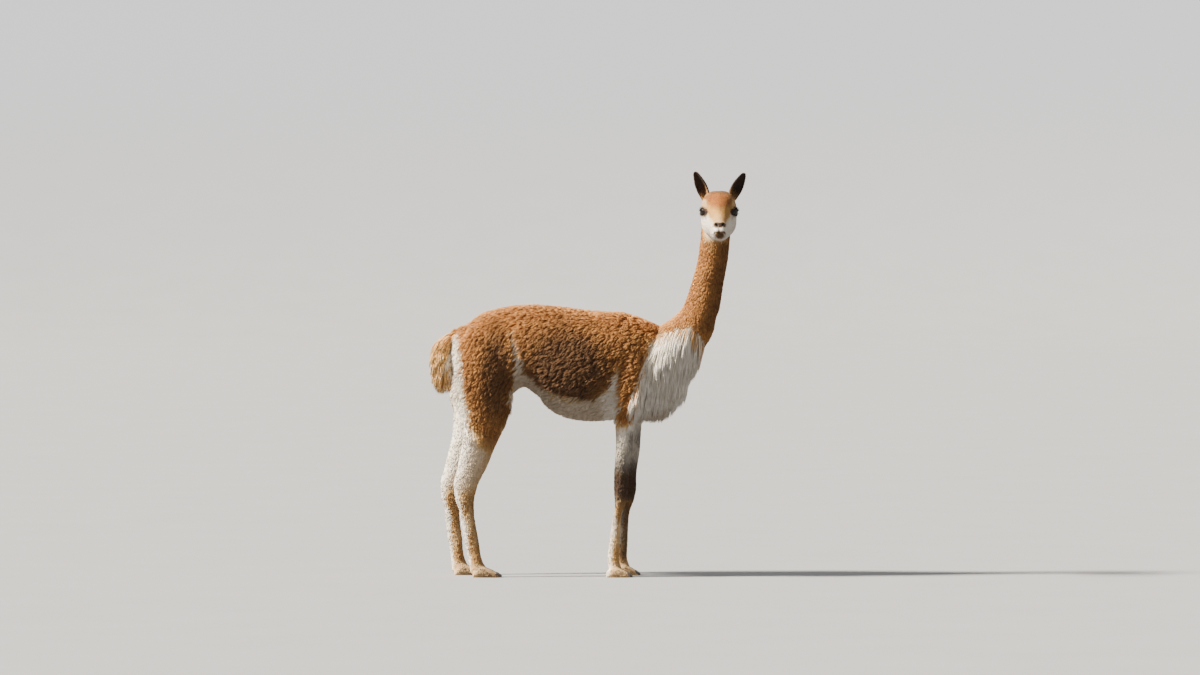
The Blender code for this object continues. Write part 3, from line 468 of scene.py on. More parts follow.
def toes():
    """Frame of each toe at its heel, its foot's length and its name."""
    placed = []
    for heel_x, length, foot_y, name in feet():
        for toe_side, word in ((LEFT, "outer"), (RIGHT, "inner")):
            outward = toe_side if foot_y > 0 else -toe_side
            place = Vector((heel_x, foot_y + outward * TOE_SPREAD, 0.0))
            turn = Matrix.Rotation(outward * TOE_SPLAY, 4, "Z")
            placed.append((Matrix.Translation(place) @ turn, length, name + "_" + word))
    return placed


def toe_rings(toe_frame, length):
    rings = []
    for share, height, half_width in smooth_rows(TOE, RINGS_PER_ROW):
        middle = Vector((share * length, 0.0, (height - TOE_SINK) / 2))
        places = ring(middle, ASIDE, UP, half_width, (height + TOE_SINK) / 2, TORSO_ROUNDNESS)
        rings.append([toe_frame @ place for place in places])
    return rings


def eye_middle(side):
    return Vector((HEAD_X + side * EYE_OFFSET_X, EYE_PLANE_Y - EYE_AHEAD, EYE_Z))


def gaze_turn(side):
    """Turns +Z to the way the eye looks and keeps +Y level."""
    return (Matrix.Rotation(side * GAZE_OUT - math.pi / 2, 4, "Z")
            @ Matrix.Rotation(math.pi / 2, 4, "Y"))


def from_eye(places, side):
    """Places as seen from the middle of an eye, with +Z the way it looks."""
    return (places - np.array(eye_middle(side))) @ np.array(gaze_turn(side).to_3x3())


def nostril_middle(side):
    return Vector((HEAD_X + side * NOSTRIL_OFFSET, EYE_PLANE_Y - NOSTRIL_AHEAD, NOSTRIL_Z))


def nostril_turn(side):
    return Matrix.Rotation(side * NOSTRIL_SLANT, 4, "Y")


def add_ellipsoid(shape, middle, half_sizes, turn, segments=CUT_SEGMENTS):
    place = Matrix.Translation(middle) @ turn @ Matrix.Diagonal((*half_sizes, 1.0))
    bmesh.ops.create_uvsphere(shape, u_segments=segments, v_segments=segments // 2,
                              radius=1.0, matrix=place)


def ellipsoid(name, middle, half_sizes, turn, segments=CUT_SEGMENTS):
    shape = bmesh.new()
    add_ellipsoid(shape, middle, half_sizes, turn, segments)
    return object_from_bmesh(name, shape)


def mouth_line(lift, outset):
    """Places round the muzzle at the mouth's height, from one side to the other."""
    half = []
    for ahead, z in smooth_rows(MOUTH_ROWS, MOUTH_RINGS_PER_ROW):
        top, bottom, half_width, roundness = (along(HEAD, ahead, column) for column in (1, 2, 3, 4))
        level = abs(z + lift - (top + bottom) / 2) / ((top - bottom) / 2)
        reach = half_width * (1 - min(level, 1.0) ** roundness) ** (1 / roundness)
        half.append((max(reach + outset, 0.0), EYE_PLANE_Y - ahead, z + lift))
    right = [Vector((HEAD_X - reach, y, z)) for reach, y, z in half]
    left = [Vector((HEAD_X + reach, y, z)) for reach, y, z in reversed(half)]
    return right + left


def tube_rings(places, radius):
    rings = []
    for index, place in enumerate(places):
        heading = (places[min(index + 1, len(places) - 1)] - places[max(index - 1, 0)]).normalized()
        across = heading.cross(UP).normalized()
        rings.append(ring(place, across, across.cross(heading), radius, radius, 2.0,
                          points=TUBE_POINTS))
    return rings


def whole_animal():
    """One closed skin round the torso, neck, head, legs and tail, with lids and lips."""
    shape = bmesh.new()
    add_loft(shape, torso_rings())
    add_loft(shape, level_rings(NECK, NECK_ROUNDNESS))
    add_loft(shape, head_rings())
    add_loft(shape, level_rings(TAIL, TAIL_ROUNDNESS))
    for side in (LEFT, RIGHT):
        inward = Vector((-side * ORBIT_INSET, 0, 0))
        add_ellipsoid(shape, eye_middle(side) + inward, ORBIT_SIZE, Matrix.Identity(4))
        add_ellipsoid(shape, eye_middle(side), (EYE_RADIUS + LID_THICKNESS,) * 3, gaze_turn(side))
        add_loft(shape, level_rings(leg_rows(HIND_LEG, HIND_STRIDE, side), LEG_ROUNDNESS))
        add_loft(shape, level_rings(leg_rows(FORE_LEG, FORE_STRIDE, side), LEG_ROUNDNESS))
    for lift in (LIP_RADIUS, -LIP_RADIUS):
        add_loft(shape, tube_rings(mouth_line(lift, -LIP_SINK), LIP_RADIUS))
    for toe_frame, length, _ in toes():
        add_loft(shape, toe_rings(toe_frame, length))
    animal = object_from_bmesh("skin", shape)
    join = animal.modifiers.new("join", "REMESH")
    join.mode = "VOXEL"
    join.voxel_size = JOIN_VOXEL
    soften = animal.modifiers.new("soften", "SMOOTH")
    soften.factor = JOIN_SMOOTHING
    soften.iterations = JOIN_SMOOTHING_PASSES
    apply_modifiers(animal)
    return animal


def vertex_arrays(mesh):
    count = len(mesh.vertices)
    places = np.empty(count * 3, dtype=np.float32)
    normals = np.empty(count * 3, dtype=np.float32)
    mesh.vertices.foreach_get("co", places)
    mesh.vertex_normals.foreach_get("vector", normals)
    return places.reshape(-1, 3).astype(float), normals.reshape(-1, 3).astype(float)


def ahead_of_throat(places):
    """How far the places lie past the plane between neck and head."""
    middle = np.array(THROAT_PLACE)
    normal = np.array((0.0, -math.sin(THROAT_TILT), math.cos(THROAT_TILT)))
    return (places - middle) @ normal


def head_share(places):
    return ease(*HEAD_FADE, ahead_of_throat(places)) * ease(*HEAD_RISE, places[:, 2])


def skin_sink(places, normals):
    """How deep the skin lies under the surface of the solids."""
    z = places[:, 2]
    neck = ease(*NECK_FADE, z)
    leg = ease(*LEG_FADE, z)
    belly = ease(*BELLY_FADE, -normals[:, 2]) * (1 - leg) * (1 - neck)
    head = head_share(places)
    depth = SINK + NECK_SINK * neck + LEG_SINK * leg + BELLY_SINK * belly
    return (depth * (1 - head) + HEAD_SINK * head) * ease(*SOLE_FADE, z)


def thin_out(target):
    """Fewer faces on the body than on the head and feet."""
    places, _ = vertex_arrays(target.data)
    head = ease(*HEAD_FINE, ahead_of_throat(places)) * (places[:, 2] > HEAD_RISE[0])
    thinned = 1 - np.maximum(head, ease(*FOOT_FINE, places[:, 2]))
    group = target.vertex_groups.new(name="thinned")
    for level in range(THIN_LEVELS):
        within = (thinned >= level / THIN_LEVELS) & (thinned < (level + 1) / THIN_LEVELS)
        if level == THIN_LEVELS - 1:
            within |= thinned >= 1.0
        group.add(np.nonzero(within)[0].tolist(), level / (THIN_LEVELS - 1), "REPLACE")
    fewer = target.modifiers.new("fewer", "DECIMATE")
    fewer.ratio = min(1.0, SKIN_TRIANGLES / (2 * len(target.data.polygons)))
    fewer.vertex_group = group.name
    fewer.vertex_group_factor = THIN_STRENGTH
    apply_modifiers(target)
    target.vertex_groups.clear()


def ear_frame(side):
    """Root and tip of an ear, the way it opens and the way across it."""
    root, tip = (Vector((HEAD_X + x, EYE_PLANE_Y - ahead, z))
                 for x, ahead, z in ((side * EAR_ROOT[0], *EAR_ROOT[1:]), EAR_TIP[side]))
    rise = (tip - root).normalized()
    facing = Vector((side * math.sin(EAR_FACING_OUT), -math.cos(EAR_FACING_OUT), 0))
    facing = (facing - rise * facing.dot(rise)).normalized()
    return root, tip, facing, rise.cross(facing)


def ear_shell(side):
    """A cup that opens forward and outward."""
    root, tip, facing, across = ear_frame(side)
    shape = bmesh.new()
    rows = []
    for share, half_width, depth in smooth_rows(EAR, EAR_RINGS_PER_ROW):
        spine = root.lerp(tip, share)
        row = []
        for step in range(EAR_STEPS_ACROSS + 1):
            angle = (step / EAR_STEPS_ACROSS - 0.5) * EAR_ROLL
            place = (spine + across * half_width * math.sin(angle)
                     - facing * depth * (math.cos(angle) - math.cos(EAR_ROLL / 2)))
            row.append(shape.verts.new(place))
        rows.append(row)
    bridge(shape, rows, closed=False)
    ear = object_from_bmesh("ear", shape)
    shell = ear.modifiers.new("shell", "SOLIDIFY")
    shell.thickness = EAR_SKIN
    shell.offset = 0.0
    apply_modifiers(ear)
    return ear


# Swells and hollows of the head, rows of distance to the side, ahead of the eyes, z, reach, rise
HEAD_FORMS = (
    (0.047, 0.004, 1.1525, 0.012, 0.0022),
    (0.046, 0.020, 1.1090, 0.013, 0.0016),
    (0.036, 0.052, 1.1120, 0.016, -0.0030),
    (0.050, -0.012, 1.0720, 0.024, 0.0020),
    (0.040, 0.048, 1.0640, 0.018, -0.0032),
    (0.0150, 0.1170, 1.0950, 0.0070, 0.0022),
    (0.0100, 0.1270, 1.0775, 0.0085, 0.0026),
    (0.0000, 0.1150, 1.0500, 0.0100, 0.0016),
    (0.0000, 0.0600, 1.1460, 0.0150, 0.0014),
    (0.0240, 0.0900, 1.0850, 0.0130, -0.0014),
)
CLEFT_HALF_WIDTH = 0.0016
CLEFT_DEPTH = 0.0012
CLEFT_TOP = 1.0900
CLEFT_BOTTOM = 1.0680
CLEFT_FADE = 0.004
CLEFT_AHEAD = 0.105
CUT_BLOCK = 1.4


def head_forms(places):
    """How far the swells, the hollows and the cleft of the lip move the skin of the head."""
    side = np.abs(places[:, 0] - HEAD_X)
    ahead = EYE_PLANE_Y - places[:, 1]
    z = places[:, 2]
    rise = np.zeros(len(places))
    for form_side, form_ahead, form_z, reach, height in HEAD_FORMS:
        distance = np.sqrt((side - form_side) ** 2 + (ahead - form_ahead) ** 2 + (z - form_z) ** 2)
        rise += height * np.exp(-(distance / reach) ** 2)
    cleft = np.exp(-(side / CLEFT_HALF_WIDTH) ** 2) * (ahead > CLEFT_AHEAD)
    cleft *= ease(CLEFT_BOTTOM, CLEFT_BOTTOM + CLEFT_FADE, z)
    cleft *= 1 - ease(CLEFT_TOP - CLEFT_FADE, CLEFT_TOP, z)
    return (rise - CLEFT_DEPTH * cleft) * head_share(places)


def openings():
    """Bodies that cut the eyes, lids, nostrils, mouth and the ground out of the skin."""
    cuts = []
    for side in (LEFT, RIGHT):
        turn = gaze_turn(side)
        cuts.append(ellipsoid("socket", eye_middle(side), (EYE_RADIUS + GAP,) * 3, turn))
        outward = turn.to_3x3() @ Vector((0, 0, LID_OPENING_DEPTH))
        opening = (LID_OPENING[1], LID_OPENING[0], LID_OPENING_DEPTH)
        cuts.append(ellipsoid("opening", eye_middle(side) + outward, opening, turn))
        cuts.append(ellipsoid("nostril", nostril_middle(side), NOSTRIL_SIZE, nostril_turn(side)))
    groove = bmesh.new()
    add_loft(groove, tube_rings(mouth_line(0.0, MOUTH_OUTSET), MOUTH_GROOVE_RADIUS))
    cuts.append(object_from_bmesh("mouth", groove))
    ground = bmesh.new()
    bmesh.ops.create_cube(ground, size=CUT_BLOCK)
    bmesh.ops.translate(ground, vec=(0, 0, -CUT_BLOCK / 2), verts=ground.verts)
    cuts.append(object_from_bmesh("ground_cut", ground))
    return cuts


def make_skin():
    """The finished skin, and the places, normals and triangles that hair is set on."""
    skin = whole_animal()
    places, normals = vertex_arrays(skin.data)
    moved = head_forms(places) - skin_sink(places, normals)
    sunk = places + normals * moved[:, None]
    skin.data.vertices.foreach_set("co", sunk.astype(np.float32).ravel())
    thin_out(skin)
    skin.data.calc_loop_triangles()
    triangles = np.empty(len(skin.data.loop_triangles) * 3, dtype=np.int32)
    skin.data.loop_triangles.foreach_get("vertices", triangles)
    ground = (*vertex_arrays(skin.data), triangles.reshape(-1, 3))
    combine(skin, [ear_shell(LEFT), ear_shell(RIGHT)], "UNION")
    combine(skin, openings(), "DIFFERENCE")
    return skin, ground


# Right side of the animal, rows of x, z of the lower edge of the brown flank
FLANK_EDGE = (
    (-0.234, 0.780), (-0.224, 0.755), (-0.214, 0.700), (-0.192, 0.640), (-0.152, 0.598),
    (-0.105, 0.562), (-0.050, 0.546), (0.0155, 0.552), (0.042, 0.5735), (0.060, 0.590),
)
# Front edge of the brown thigh, rows of z, x
THIGH_FRONT = (
    (0.45, -0.245), (0.52, -0.246), (0.592, -0.238), (0.667, -0.224), (0.719, -0.226), (0.78, -0.234),
)
# White patch behind the elbow, rows of z, x of its back edge
ELBOW_PATCH = (
    (0.40, 0.045), (0.493, 0.045), (0.519, 0.048), (0.5735, 0.056), (0.611, 0.068), (0.660, 0.090),
)
# Brown strip down the foreleg, rows of z, x of its back edge
STRIP_BACK = (
    (0.38, 0.104), (0.462, 0.099), (0.493, 0.087), (0.561, 0.090), (0.660, 0.090), (0.72, 0.060),
)
# Back edge of the white chest, rows of z, x
CHEST_BACK = (
    (0.38, 0.100), (0.462, 0.103), (0.493, 0.128), (0.521, 0.133), (0.5735, 0.1395),
    (0.626, 0.161), (0.667, 0.174), (0.710, 0.189), (0.756, 0.208),
)
# Top edge of the white chest, rows of x, z
CHEST_TOP = (
    (0.19, 0.740), (0.220, 0.756), (0.267, 0.766), (0.313, 0.781), (0.335, 0.760), (0.36, 0.715),
    (0.39, 0.700),
)
# Fawn wedge down the face, rows of z, half width
WEDGE = ((1.085, 0.009), (1.100, 0.018), (1.114, 0.027), (1.131, 0.036), (1.150, 0.041))
# Dark streak below the eye, from its inner corner, side, ahead of the eyes, z
TEAR_START = (0.0400, 0.0230, 1.1290)
TEAR_END = (0.0380, 0.0330, 1.1110)
# Front edge of the white back of the hind leg, rows of z, x
HIND_WHITE = (
    (0.00, -0.365), (0.05, -0.368), (0.10, -0.374), (0.15, -0.380), (0.20, -0.387), (0.25, -0.400),
    (0.30, -0.405), (0.33, -0.392), (0.378, -0.376), (0.425, -0.368), (0.488, -0.366),
    (0.56, -0.380), (0.614, -0.386), (0.66, -0.390), (0.71, -0.394), (0.74, -0.399), (0.765, -0.412),
    (0.785, -0.432),
)
# Back edge of the pale front of the hind leg, rows of z, x
SHANK_FRONT = (
    (0.20, -0.345), (0.285, -0.355), (0.345, -0.325), (0.42, -0.292), (0.497, -0.254), (0.60, -0.228),
)
# Front edge of the cream back of the foreleg below the knee, rows of z, x
FORE_CREAM = ((0.0, 0.060), (0.05, 0.066), (0.10, 0.074), (0.177, 0.082), (0.22, 0.080), (0.26, 0.070))

# Edges of the marks waver by smooth waves of this height and scale
WAVE = 0.004
WAVE_SCALE = 90.0
WAVE_SEEDS = (1, 2, 3)
HEAD_WAVE = 0.25
SOFT = 0.007

# Ovals, by name: two measures, each with its middle and half size, and the power. The flank, thigh and
# shoulder ovals bound painted shade
OVALS = {
    "flank": ("x", -0.06, 0.185, "z", 0.645, 0.175, 2),
    "thigh": ("hind_x", -0.285, 0.064, "z", 0.625, 0.195, 2),
    "shoulder": ("x", 0.130, 0.060, "z", 0.690, 0.110, 2),
}
HEAD_OVALS = {
    "pad": ("side", 0.0, 0.0190, "z", NOSTRIL_Z - 0.001, 0.0085, 4),
    # The chin oval bounds dark lips with painted shade under the upper lip and over the chin
    "chin": ("side", 0.0, 0.0180, "z", 1.0620, 0.0140, 2),
}

# Marks, each with its strength, the part that it lies on, and its soft edges: the measure,
# where the mark is gone and where it is full. BELLY and ELBOW are white; the brown on the flank, thigh,
# shoulder and neck front is painted shade
BELLY = (
    (1.0, "all", ("below_flank", -SOFT, SOFT), ("past_thigh", -SOFT, SOFT), ("x", 0.067, 0.053),
     ("z", 0.782, 0.768), ("z", 0.43, 0.46)),
    (1.0, "all", ("down", 0.35, 0.75), ("z", 0.62, 0.56), ("z", 0.42, 0.47)),
)
ELBOW = (
    (1.0, "fore", ("past_elbow", -SOFT, SOFT), ("past_strip", SOFT, -SOFT), ("z", 0.668, 0.650),
     ("z", 0.470, 0.485)),
)
WHITE = (
    *BELLY,
    *ELBOW,
    (1.0, "all", ("past_chest", -SOFT, SOFT), ("below_chest", -SOFT, SOFT), ("z", 0.40, 0.46)),
    (1.0, "rump", ("past_rear", 0.005, -0.005), ("aside", 0.018, 0.034)),
    (1.0, "inner_side", ("outward", -0.25, -0.6), ("z", 0.70, 0.60), ("z", 0.20, 0.34)),
    (0.95, "fore", ("z", 0.485, 0.455), ("z", 0.290, 0.350)),
    (0.85, "fore", ("past_cream", 0.004, -0.004), ("z", 0.225, 0.205)),
    (0.45, "hind", ("past_shank", -0.012, 0.010), ("z", 0.55, 0.47), ("z", 0.225, 0.300)),
    (1.0, "shank_back", ("over_edge", 0.040, -0.040), ("z", 0.225, 0.300)),
    (1.0, "cannon", ("z", 0.30, 0.24)),
    (0.45, "all", ("z", 0.075, 0.035)),
    (1.0, "tail", ("x", -0.455, -0.440), ("z", 0.735, 0.700)),
    # Paler tail, most at its back edge: partly paler hair, partly a painted highlight where the key light
    # strikes
    (1.0, "pale_tail"),
    (0.8, "tail", ("z", 0.625, 0.598)),
)
# Painted shade: where the belly's skin faces down
DOWNWARD_SHADE = (1.0, "all", ("down", 0.0, 0.7))
# Painted shade: brown on the outer flank, thigh and shoulder, and on the neck's forward face that the key
# light misses
PAINTED_SHADE = (
    (0.77, "outer_side", ("flank", 1.1, 0.4)),
    (0.66, "outer_side", ("thigh", 1.1, 0.4)),
    (0.28, "outer_side", ("shoulder", 1.1, 0.3)),
    (0.50, "all", ("forward", -0.05, 0.75), ("x", 0.26, 0.30), ("z", 0.74, 0.80)),
)
# Dark brown on the legs. Most rows are painted shadow and painted shade, two are partly brown hair, the
# last is a mottled darkening low on the legs
DARK_HAIR_AND_SHADE = (
    # Painted shadow: the body's shadow across the forelegs between the elbow and below the knee
    (0.94, "fore", ("z", 0.458, 0.312), ("z", 0.195, 0.255)),
    # Painted shade down the front edge of the upper foreleg
    (0.72, "fore", ("fore_x", 0.112, 0.127), ("z", 0.475, 0.44), ("z", 0.36, 0.40)),
    # Darker front of the foreleg below the knee: partly brown hair, partly painted shade
    (0.36, "fore", ("past_cream", 0.008, 0.024), ("z", 0.23, 0.19)),
    # Darker front of the hind cannon: partly brown hair, partly painted shade
    (0.50, "hind", ("past_rear", 0.012, 0.032), ("z", 0.30, 0.22)),
    # Painted shade over the front of the hind shank
    (0.26, "hind", ("past_rear", 0.018, 0.060), ("z", 0.49, 0.43), ("z", 0.20, 0.26)),
    # Painted shade on the inner faces of the lower forelegs
    (0.80, "fore", ("outward", -0.2, -0.6), ("z", 0.26, 0.21), ("z", 0.03, 0.06)),
    # Mottled painted shade that blends the forelegs' painted shadow into the white above it
    (0.42, "streaked", ("fore_x", 0.098, 0.122), ("z", 0.30, 0.40), ("z", 0.475, 0.45)),
    (0.20, "unmottled", ("z", 0.32, 0.26), ("z", 0.03, 0.07)),
)
FACE_WHITE = (
    (1.0, "all", ("ahead", -0.042, -0.006), ("z", 1.128, 1.108), ("past_wedge", -0.011, 0.011)),
    (1.0, "all", ("ahead", -0.042, -0.006), ("z", 1.128, 1.108), ("z", 1.104, 1.088)),
    (1.0, "all", ("past_wedge", -0.011, 0.011), ("ahead", -0.010, 0.010), ("z", 1.150, 1.138)),
    (0.97, "muzzle", ("ahead", 0.092, 0.116)),
    (0.97, "front", ("z", 1.106, 1.086)),
    (0.33, "all", ("over_hairline", 0.010, -0.014), ("ahead", 0.0, 0.02)),
    (0.45, "all", ("side", 0.033, 0.041), ("ahead", -0.030, -0.012), ("z", 1.174, 1.165),
     ("z", 1.138, 1.144)),
)
# Painted shade under the head, on the lower jaw behind the muzzle
JAW_SHADE = (1.0, "all", ("z", 1.050, 1.036), ("ahead", 0.095, 0.070))
FACE_DARK = (
    (0.30, "not_white", ("ahead", -0.02, 0.0)),
    # Painted shade on the lower jaw
    (0.25, "all", *JAW_SHADE[2:]),
    (0.66, "all", ("z", 1.176, 1.190), ("side", 0.042, 0.026), ("ahead", -0.055, -0.030),
     ("ahead", 0.034, 0.010)),
    (1.0, "all", ("lid", 1.12, 0.88)),
    (1.0, "all", ("nostril", 0.0105, 0.0065)),
    (0.97, "all", ("pad", 1.4, 0.6), ("ahead", 0.098, 0.106)),
    # Dark lips, partly painted shade under the upper lip and over the chin
    (0.86, "all", ("chin", 1.30, 0.50), ("ahead", 0.092, 0.110)),
    (0.90, "all", ("mouth", 0.0035, 0.0012), ("true_ahead", 0.108, 0.122)),
    (0.85, "tear", ("tear_reach", 1.0, 0.4)),
)

# Weights of the marks that fade with another measure, and the size of the dark lids. The first two grey
# and darken the belly's underside as painted shade
BELLY_SHADE_GREY = 0.24
BELLY_SHADE_DARK = 0.30
# Greys the lower jaw's white as painted shade
JAW_SHADE_GREY = 0.65
DARK_COVERS = (0.9, 0.45, 0.95)
HAIRLINE = (1.143, 12.0)
TAIL_START = (-0.425, 0.045, 0.55)
SHANK_EDGE = (0.462, -0.55, 0.022)
SHANK_BACK = (0.82, -5.5, 0.15)
CANNON = (0.20, 0.25)
LID_DARK = (0.0125, 0.0225, 0.004)
NOSTRIL_STRETCH = (1.0, 0.7, 1.0)
FAR = 9.0

# Masks and waves that the marks use. An edge is a pair, where it is gone and where it is full,
# and a grade is the least, the gain, and where that starts and ends
WAVE_COUNT = 5
WAVE_SPREAD = 2.2
MOTTLE = (-0.2, 0.9)
MOTTLE_STRETCH = (1.0, 1.0, 0.4)
MOTTLE_WAVES = (70.0, 21)
EDGE_WAVES = (55.0, 31)
RUMP = (0.79, -0.2)
# The tail's paler share, partly a painted highlight along its back edge
PALE_TAIL = (0.28, 0.16, -0.452, -0.475)
INNER_ASIDE = 0.012
INNER_FORE_TOP = (0.60, 0.52)
INNER_FRONT = (-0.004, 0.010)
INNER_FRONT_SHIFT = (0.010, 0.014)
INNER_LOW = (0.44, 0.36)
STREAKED = (0.5, 0.5)
MUZZLE_TOP = (1.0, -0.55, 1.096, 1.102)
FACE_START = -0.01
TEAR_FADE = 0.6
TEAR_REACH = (0.0125, 0.0075)
EAR_NEAR = (0.026, 0.020)
EAR_ABOVE = (1.168, 1.182)
# Ears darken from the root to near black: partly dark ear hair, partly painted shade
EAR_DARK = (0.45, 0.55, 0.05, 0.35)
SKIN_DRAW = 0.35
# The skin's low tip share gives it the darker tone of the tufts' roots, painted shade
SKIN_TIP = 0.30


def stride_of(places, rows):
    return np.where(places[:, 1] > 0, along(rows, places[:, 2]), 0.0)


def wobble(places, scale, seed):
    """A smooth, uneven value between about -1 and 1 over space."""
    rng = np.random.default_rng(seed)
    total = np.zeros(len(places))
    for _ in range(WAVE_COUNT):
        wave = rng.normal(size=3) * scale
        total += np.sin(places @ wave + rng.uniform(0, 2 * math.pi))
    return total / WAVE_SPREAD


def mark(seen, strength, part, *edges):
    """How strongly a mark shows at each place."""
    share = strength * seen[part]
    for measure, gone, full in edges:
        share = share * ease(gone, full, seen[measure])
    return share


def strongest(seen, marks):
    return np.max([mark(seen, *row) for row in marks], axis=0)


def weighted(weights, *values):
    """The first weight plus each value times its own."""
    return weights[0] + sum(weight * value for weight, value in zip(weights[1:], values))


def add_ovals(seen, ovals):
    """Distance from each oval's middle, 1 on its edge."""
    for name, (across, middle_a, half_a, up, middle_u, half_u, power) in ovals.items():
        seen[name] = np.sqrt(((seen[across] - middle_a) / half_a) ** power
                             + ((seen[up] - middle_u) / half_u) ** power)


def body_measures(places, normals, wavy):
    """What the marks of the trunk, tail and legs are measured by."""
    x, y, z = wavy.T
    hind_x = x - stride_of(places, HIND_STRIDE)
    fore_x = x - stride_of(places, FORE_STRIDE)
    past_rear = hind_x - along(HIND_WHITE, z)
    past_cream = fore_x - along(FORE_CREAM, z)
    outward = normals[:, 1] * np.sign(places[:, 1])
    tail = ((places[:, 0] < TAIL_START[0]) & (np.abs(places[:, 1]) < TAIL_START[1])
            & (places[:, 2] > TAIL_START[2])).astype(float)
    mottle = ease(*MOTTLE, wobble(places * np.array(MOTTLE_STRETCH), *MOTTLE_WAVES))
    fore = (x > 0).astype(float)
    hind = (x < 0).astype(float)
    fore_shift, hind_shift = INNER_FRONT_SHIFT
    legs_front = np.where(x > 0, past_cream - fore_shift, past_rear - hind_shift)
    inner = (np.abs(y) > INNER_ASIDE) * np.where(x > 0, ease(*INNER_FORE_TOP, z), 1.0) * (1 - tail)
    seen = {
        "all": 1.0, "x": x, "z": z, "hind_x": hind_x, "fore_x": fore_x, "aside": np.abs(y),
        "down": -normals[:, 2], "forward": normals[:, 0], "outward": outward,
        "fore": fore, "hind": hind, "tail": tail,
        "below_flank": along(FLANK_EDGE, x) - z,
        "past_thigh": hind_x - along(THIGH_FRONT, z),
        "past_elbow": fore_x - along(ELBOW_PATCH, z),
        "past_strip": fore_x - along(STRIP_BACK, z),
        "past_chest": x - along(CHEST_BACK, z),
        "below_chest": along(CHEST_TOP, x) - z,
        "past_rear": past_rear,
        "past_shank": hind_x - along(SHANK_FRONT, z),
        "past_cream": past_cream,
        "over_edge": z - weighted(SHANK_EDGE, past_rear, wobble(places, *EDGE_WAVES)),
        "pale_tail": tail * graded(PALE_TAIL, places[:, 0]),
        "rump": (z < RUMP[0]) * (x < RUMP[1]) * (1 - tail),
        "inner_side": inner * (1 - ease(*INNER_FRONT, legs_front) * ease(*INNER_LOW, z)),
        "outer_side": (outward > 0).astype(float),
        "shank_back": hind * weighted(SHANK_BACK, past_rear, mottle),
        "cannon": weighted(CANNON, mottle),
        "streaked": fore * weighted(STREAKED, mottle),
        "unmottled": 1 - mottle,
    }
    add_ovals(seen, OVALS)
    return seen


def head_measures(places, wavy):
    """What the marks of the head are measured by."""
    x, y, z = (places + HEAD_WAVE * (wavy - places)).T
    side = np.abs(x - HEAD_X)
    ahead = EYE_PLANE_Y - y
    true_ahead = EYE_PLANE_Y - places[:, 1]
    start = np.array(TEAR_START)
    run = np.array(TEAR_END) - start
    place = np.stack([side, ahead, z], axis=1) - start
    share = np.clip(place @ run / (run @ run), 0, 1)
    tear = np.linalg.norm(place - share[:, None] * run, axis=1)
    lids, nostrils = [], []
    for way in (LEFT, RIGHT):
        local = from_eye(places, way)
        rim = np.sqrt((local[:, 0] / LID_DARK[0]) ** 2
                      + ((local[:, 1] + LID_DARK[2] * way) / LID_DARK[1]) ** 2)
        lids.append(np.where(local[:, 2] > 0, rim, FAR))
        offset = (places - np.array(nostril_middle(way))) * np.array(NOSTRIL_STRETCH)
        nostrils.append(np.linalg.norm(offset, axis=1))
    seen = {
        "all": 1.0, "z": z, "side": side, "ahead": ahead, "true_ahead": true_ahead,
        "past_wedge": side - along(WEDGE, z),
        "over_hairline": z - HAIRLINE[0] - HAIRLINE[1] * side ** 2,
        "muzzle": graded(MUZZLE_TOP, z),
        "front": (ahead > FACE_START).astype(float),
        "mouth": np.abs(places[:, 2] - along(MOUTH_ROWS, true_ahead)),
        "tear": 1 - TEAR_FADE * share,
        "tear_reach": tear / (TEAR_REACH[0] - TEAR_REACH[1] * share),
        "lid": np.min(lids, axis=0),
        "nostril": np.min(nostrils, axis=0),
    }
    add_ovals(seen, HEAD_OVALS)
    return seen


def markings(places, normals):
    """Shares of white hair and of dark brown at places on the skin; the dark brown is partly dark hair,
    partly painted shadow and painted shade.
    """
    waves = [wobble(places, WAVE_SCALE, seed) for seed in WAVE_SEEDS]
    wavy = places + WAVE * np.stack(waves, axis=1)
    body = body_measures(places, normals, wavy)
    white = strongest(body, WHITE)
    # Painted shade: the belly's white is greyed and darkened where its skin faces down, but not on the
    # elbow patch
    shade_beneath = strongest(body, BELLY) * mark(body, *DOWNWARD_SHADE) * (1 - strongest(body, ELBOW))
    white = white * (1 - BELLY_SHADE_GREY * shade_beneath)
    # The dark share holds dark hair and painted shade: the legs' painted shadow and shade, the flank,
    # thigh, shoulder and neck front, and the belly's underside
    dark = np.max([strongest(body, DARK_HAIR_AND_SHADE), strongest(body, PAINTED_SHADE) * (1 - white),
                   BELLY_SHADE_DARK * shade_beneath], axis=0)

    face = head_measures(places, wavy)
    jaw_shade = mark(face, *JAW_SHADE)
    face_white = strongest(face, FACE_WHITE) * (1 - JAW_SHADE_GREY * jaw_shade)
    face["not_white"] = 1 - face_white
    face_dark = strongest(face, FACE_DARK)
    head = head_share(places)
    cover, gone, full = DARK_COVERS
    white = white * (1 - head) + face_white * head
    white = white * (1 - cover * ease(gone, full, face_dark) * head)
    dark = dark * (1 - head) + face_dark * head
    return np.clip(white, 0, 1), np.clip(dark, 0, 1)


def ear_axis_distance(places, side):
    root, tip, _, _ = ear_frame(side)
    start = np.array(root)
    run = np.array(tip) - start
    share = np.clip((places - start) @ run / (run @ run), 0, 1)
    return np.linalg.norm(places - start - share[:, None] * run, axis=1), share


def colour_marks(places, normals):
    """Red is white hair, green dark brown that is partly dark hair and partly painted shade, blue an
    uneven draw, alpha how near the tip.
    """
    white, dark = markings(places, normals)
    for side in (LEFT, RIGHT):
        distance, share = ear_axis_distance(places, side)
        near = ease(*EAR_NEAR, distance) * ease(*EAR_ABOVE, places[:, 2])
        white = white * (1 - near)
        dark = dark * (1 - near) + near * graded(EAR_DARK, share)
    return white, dark


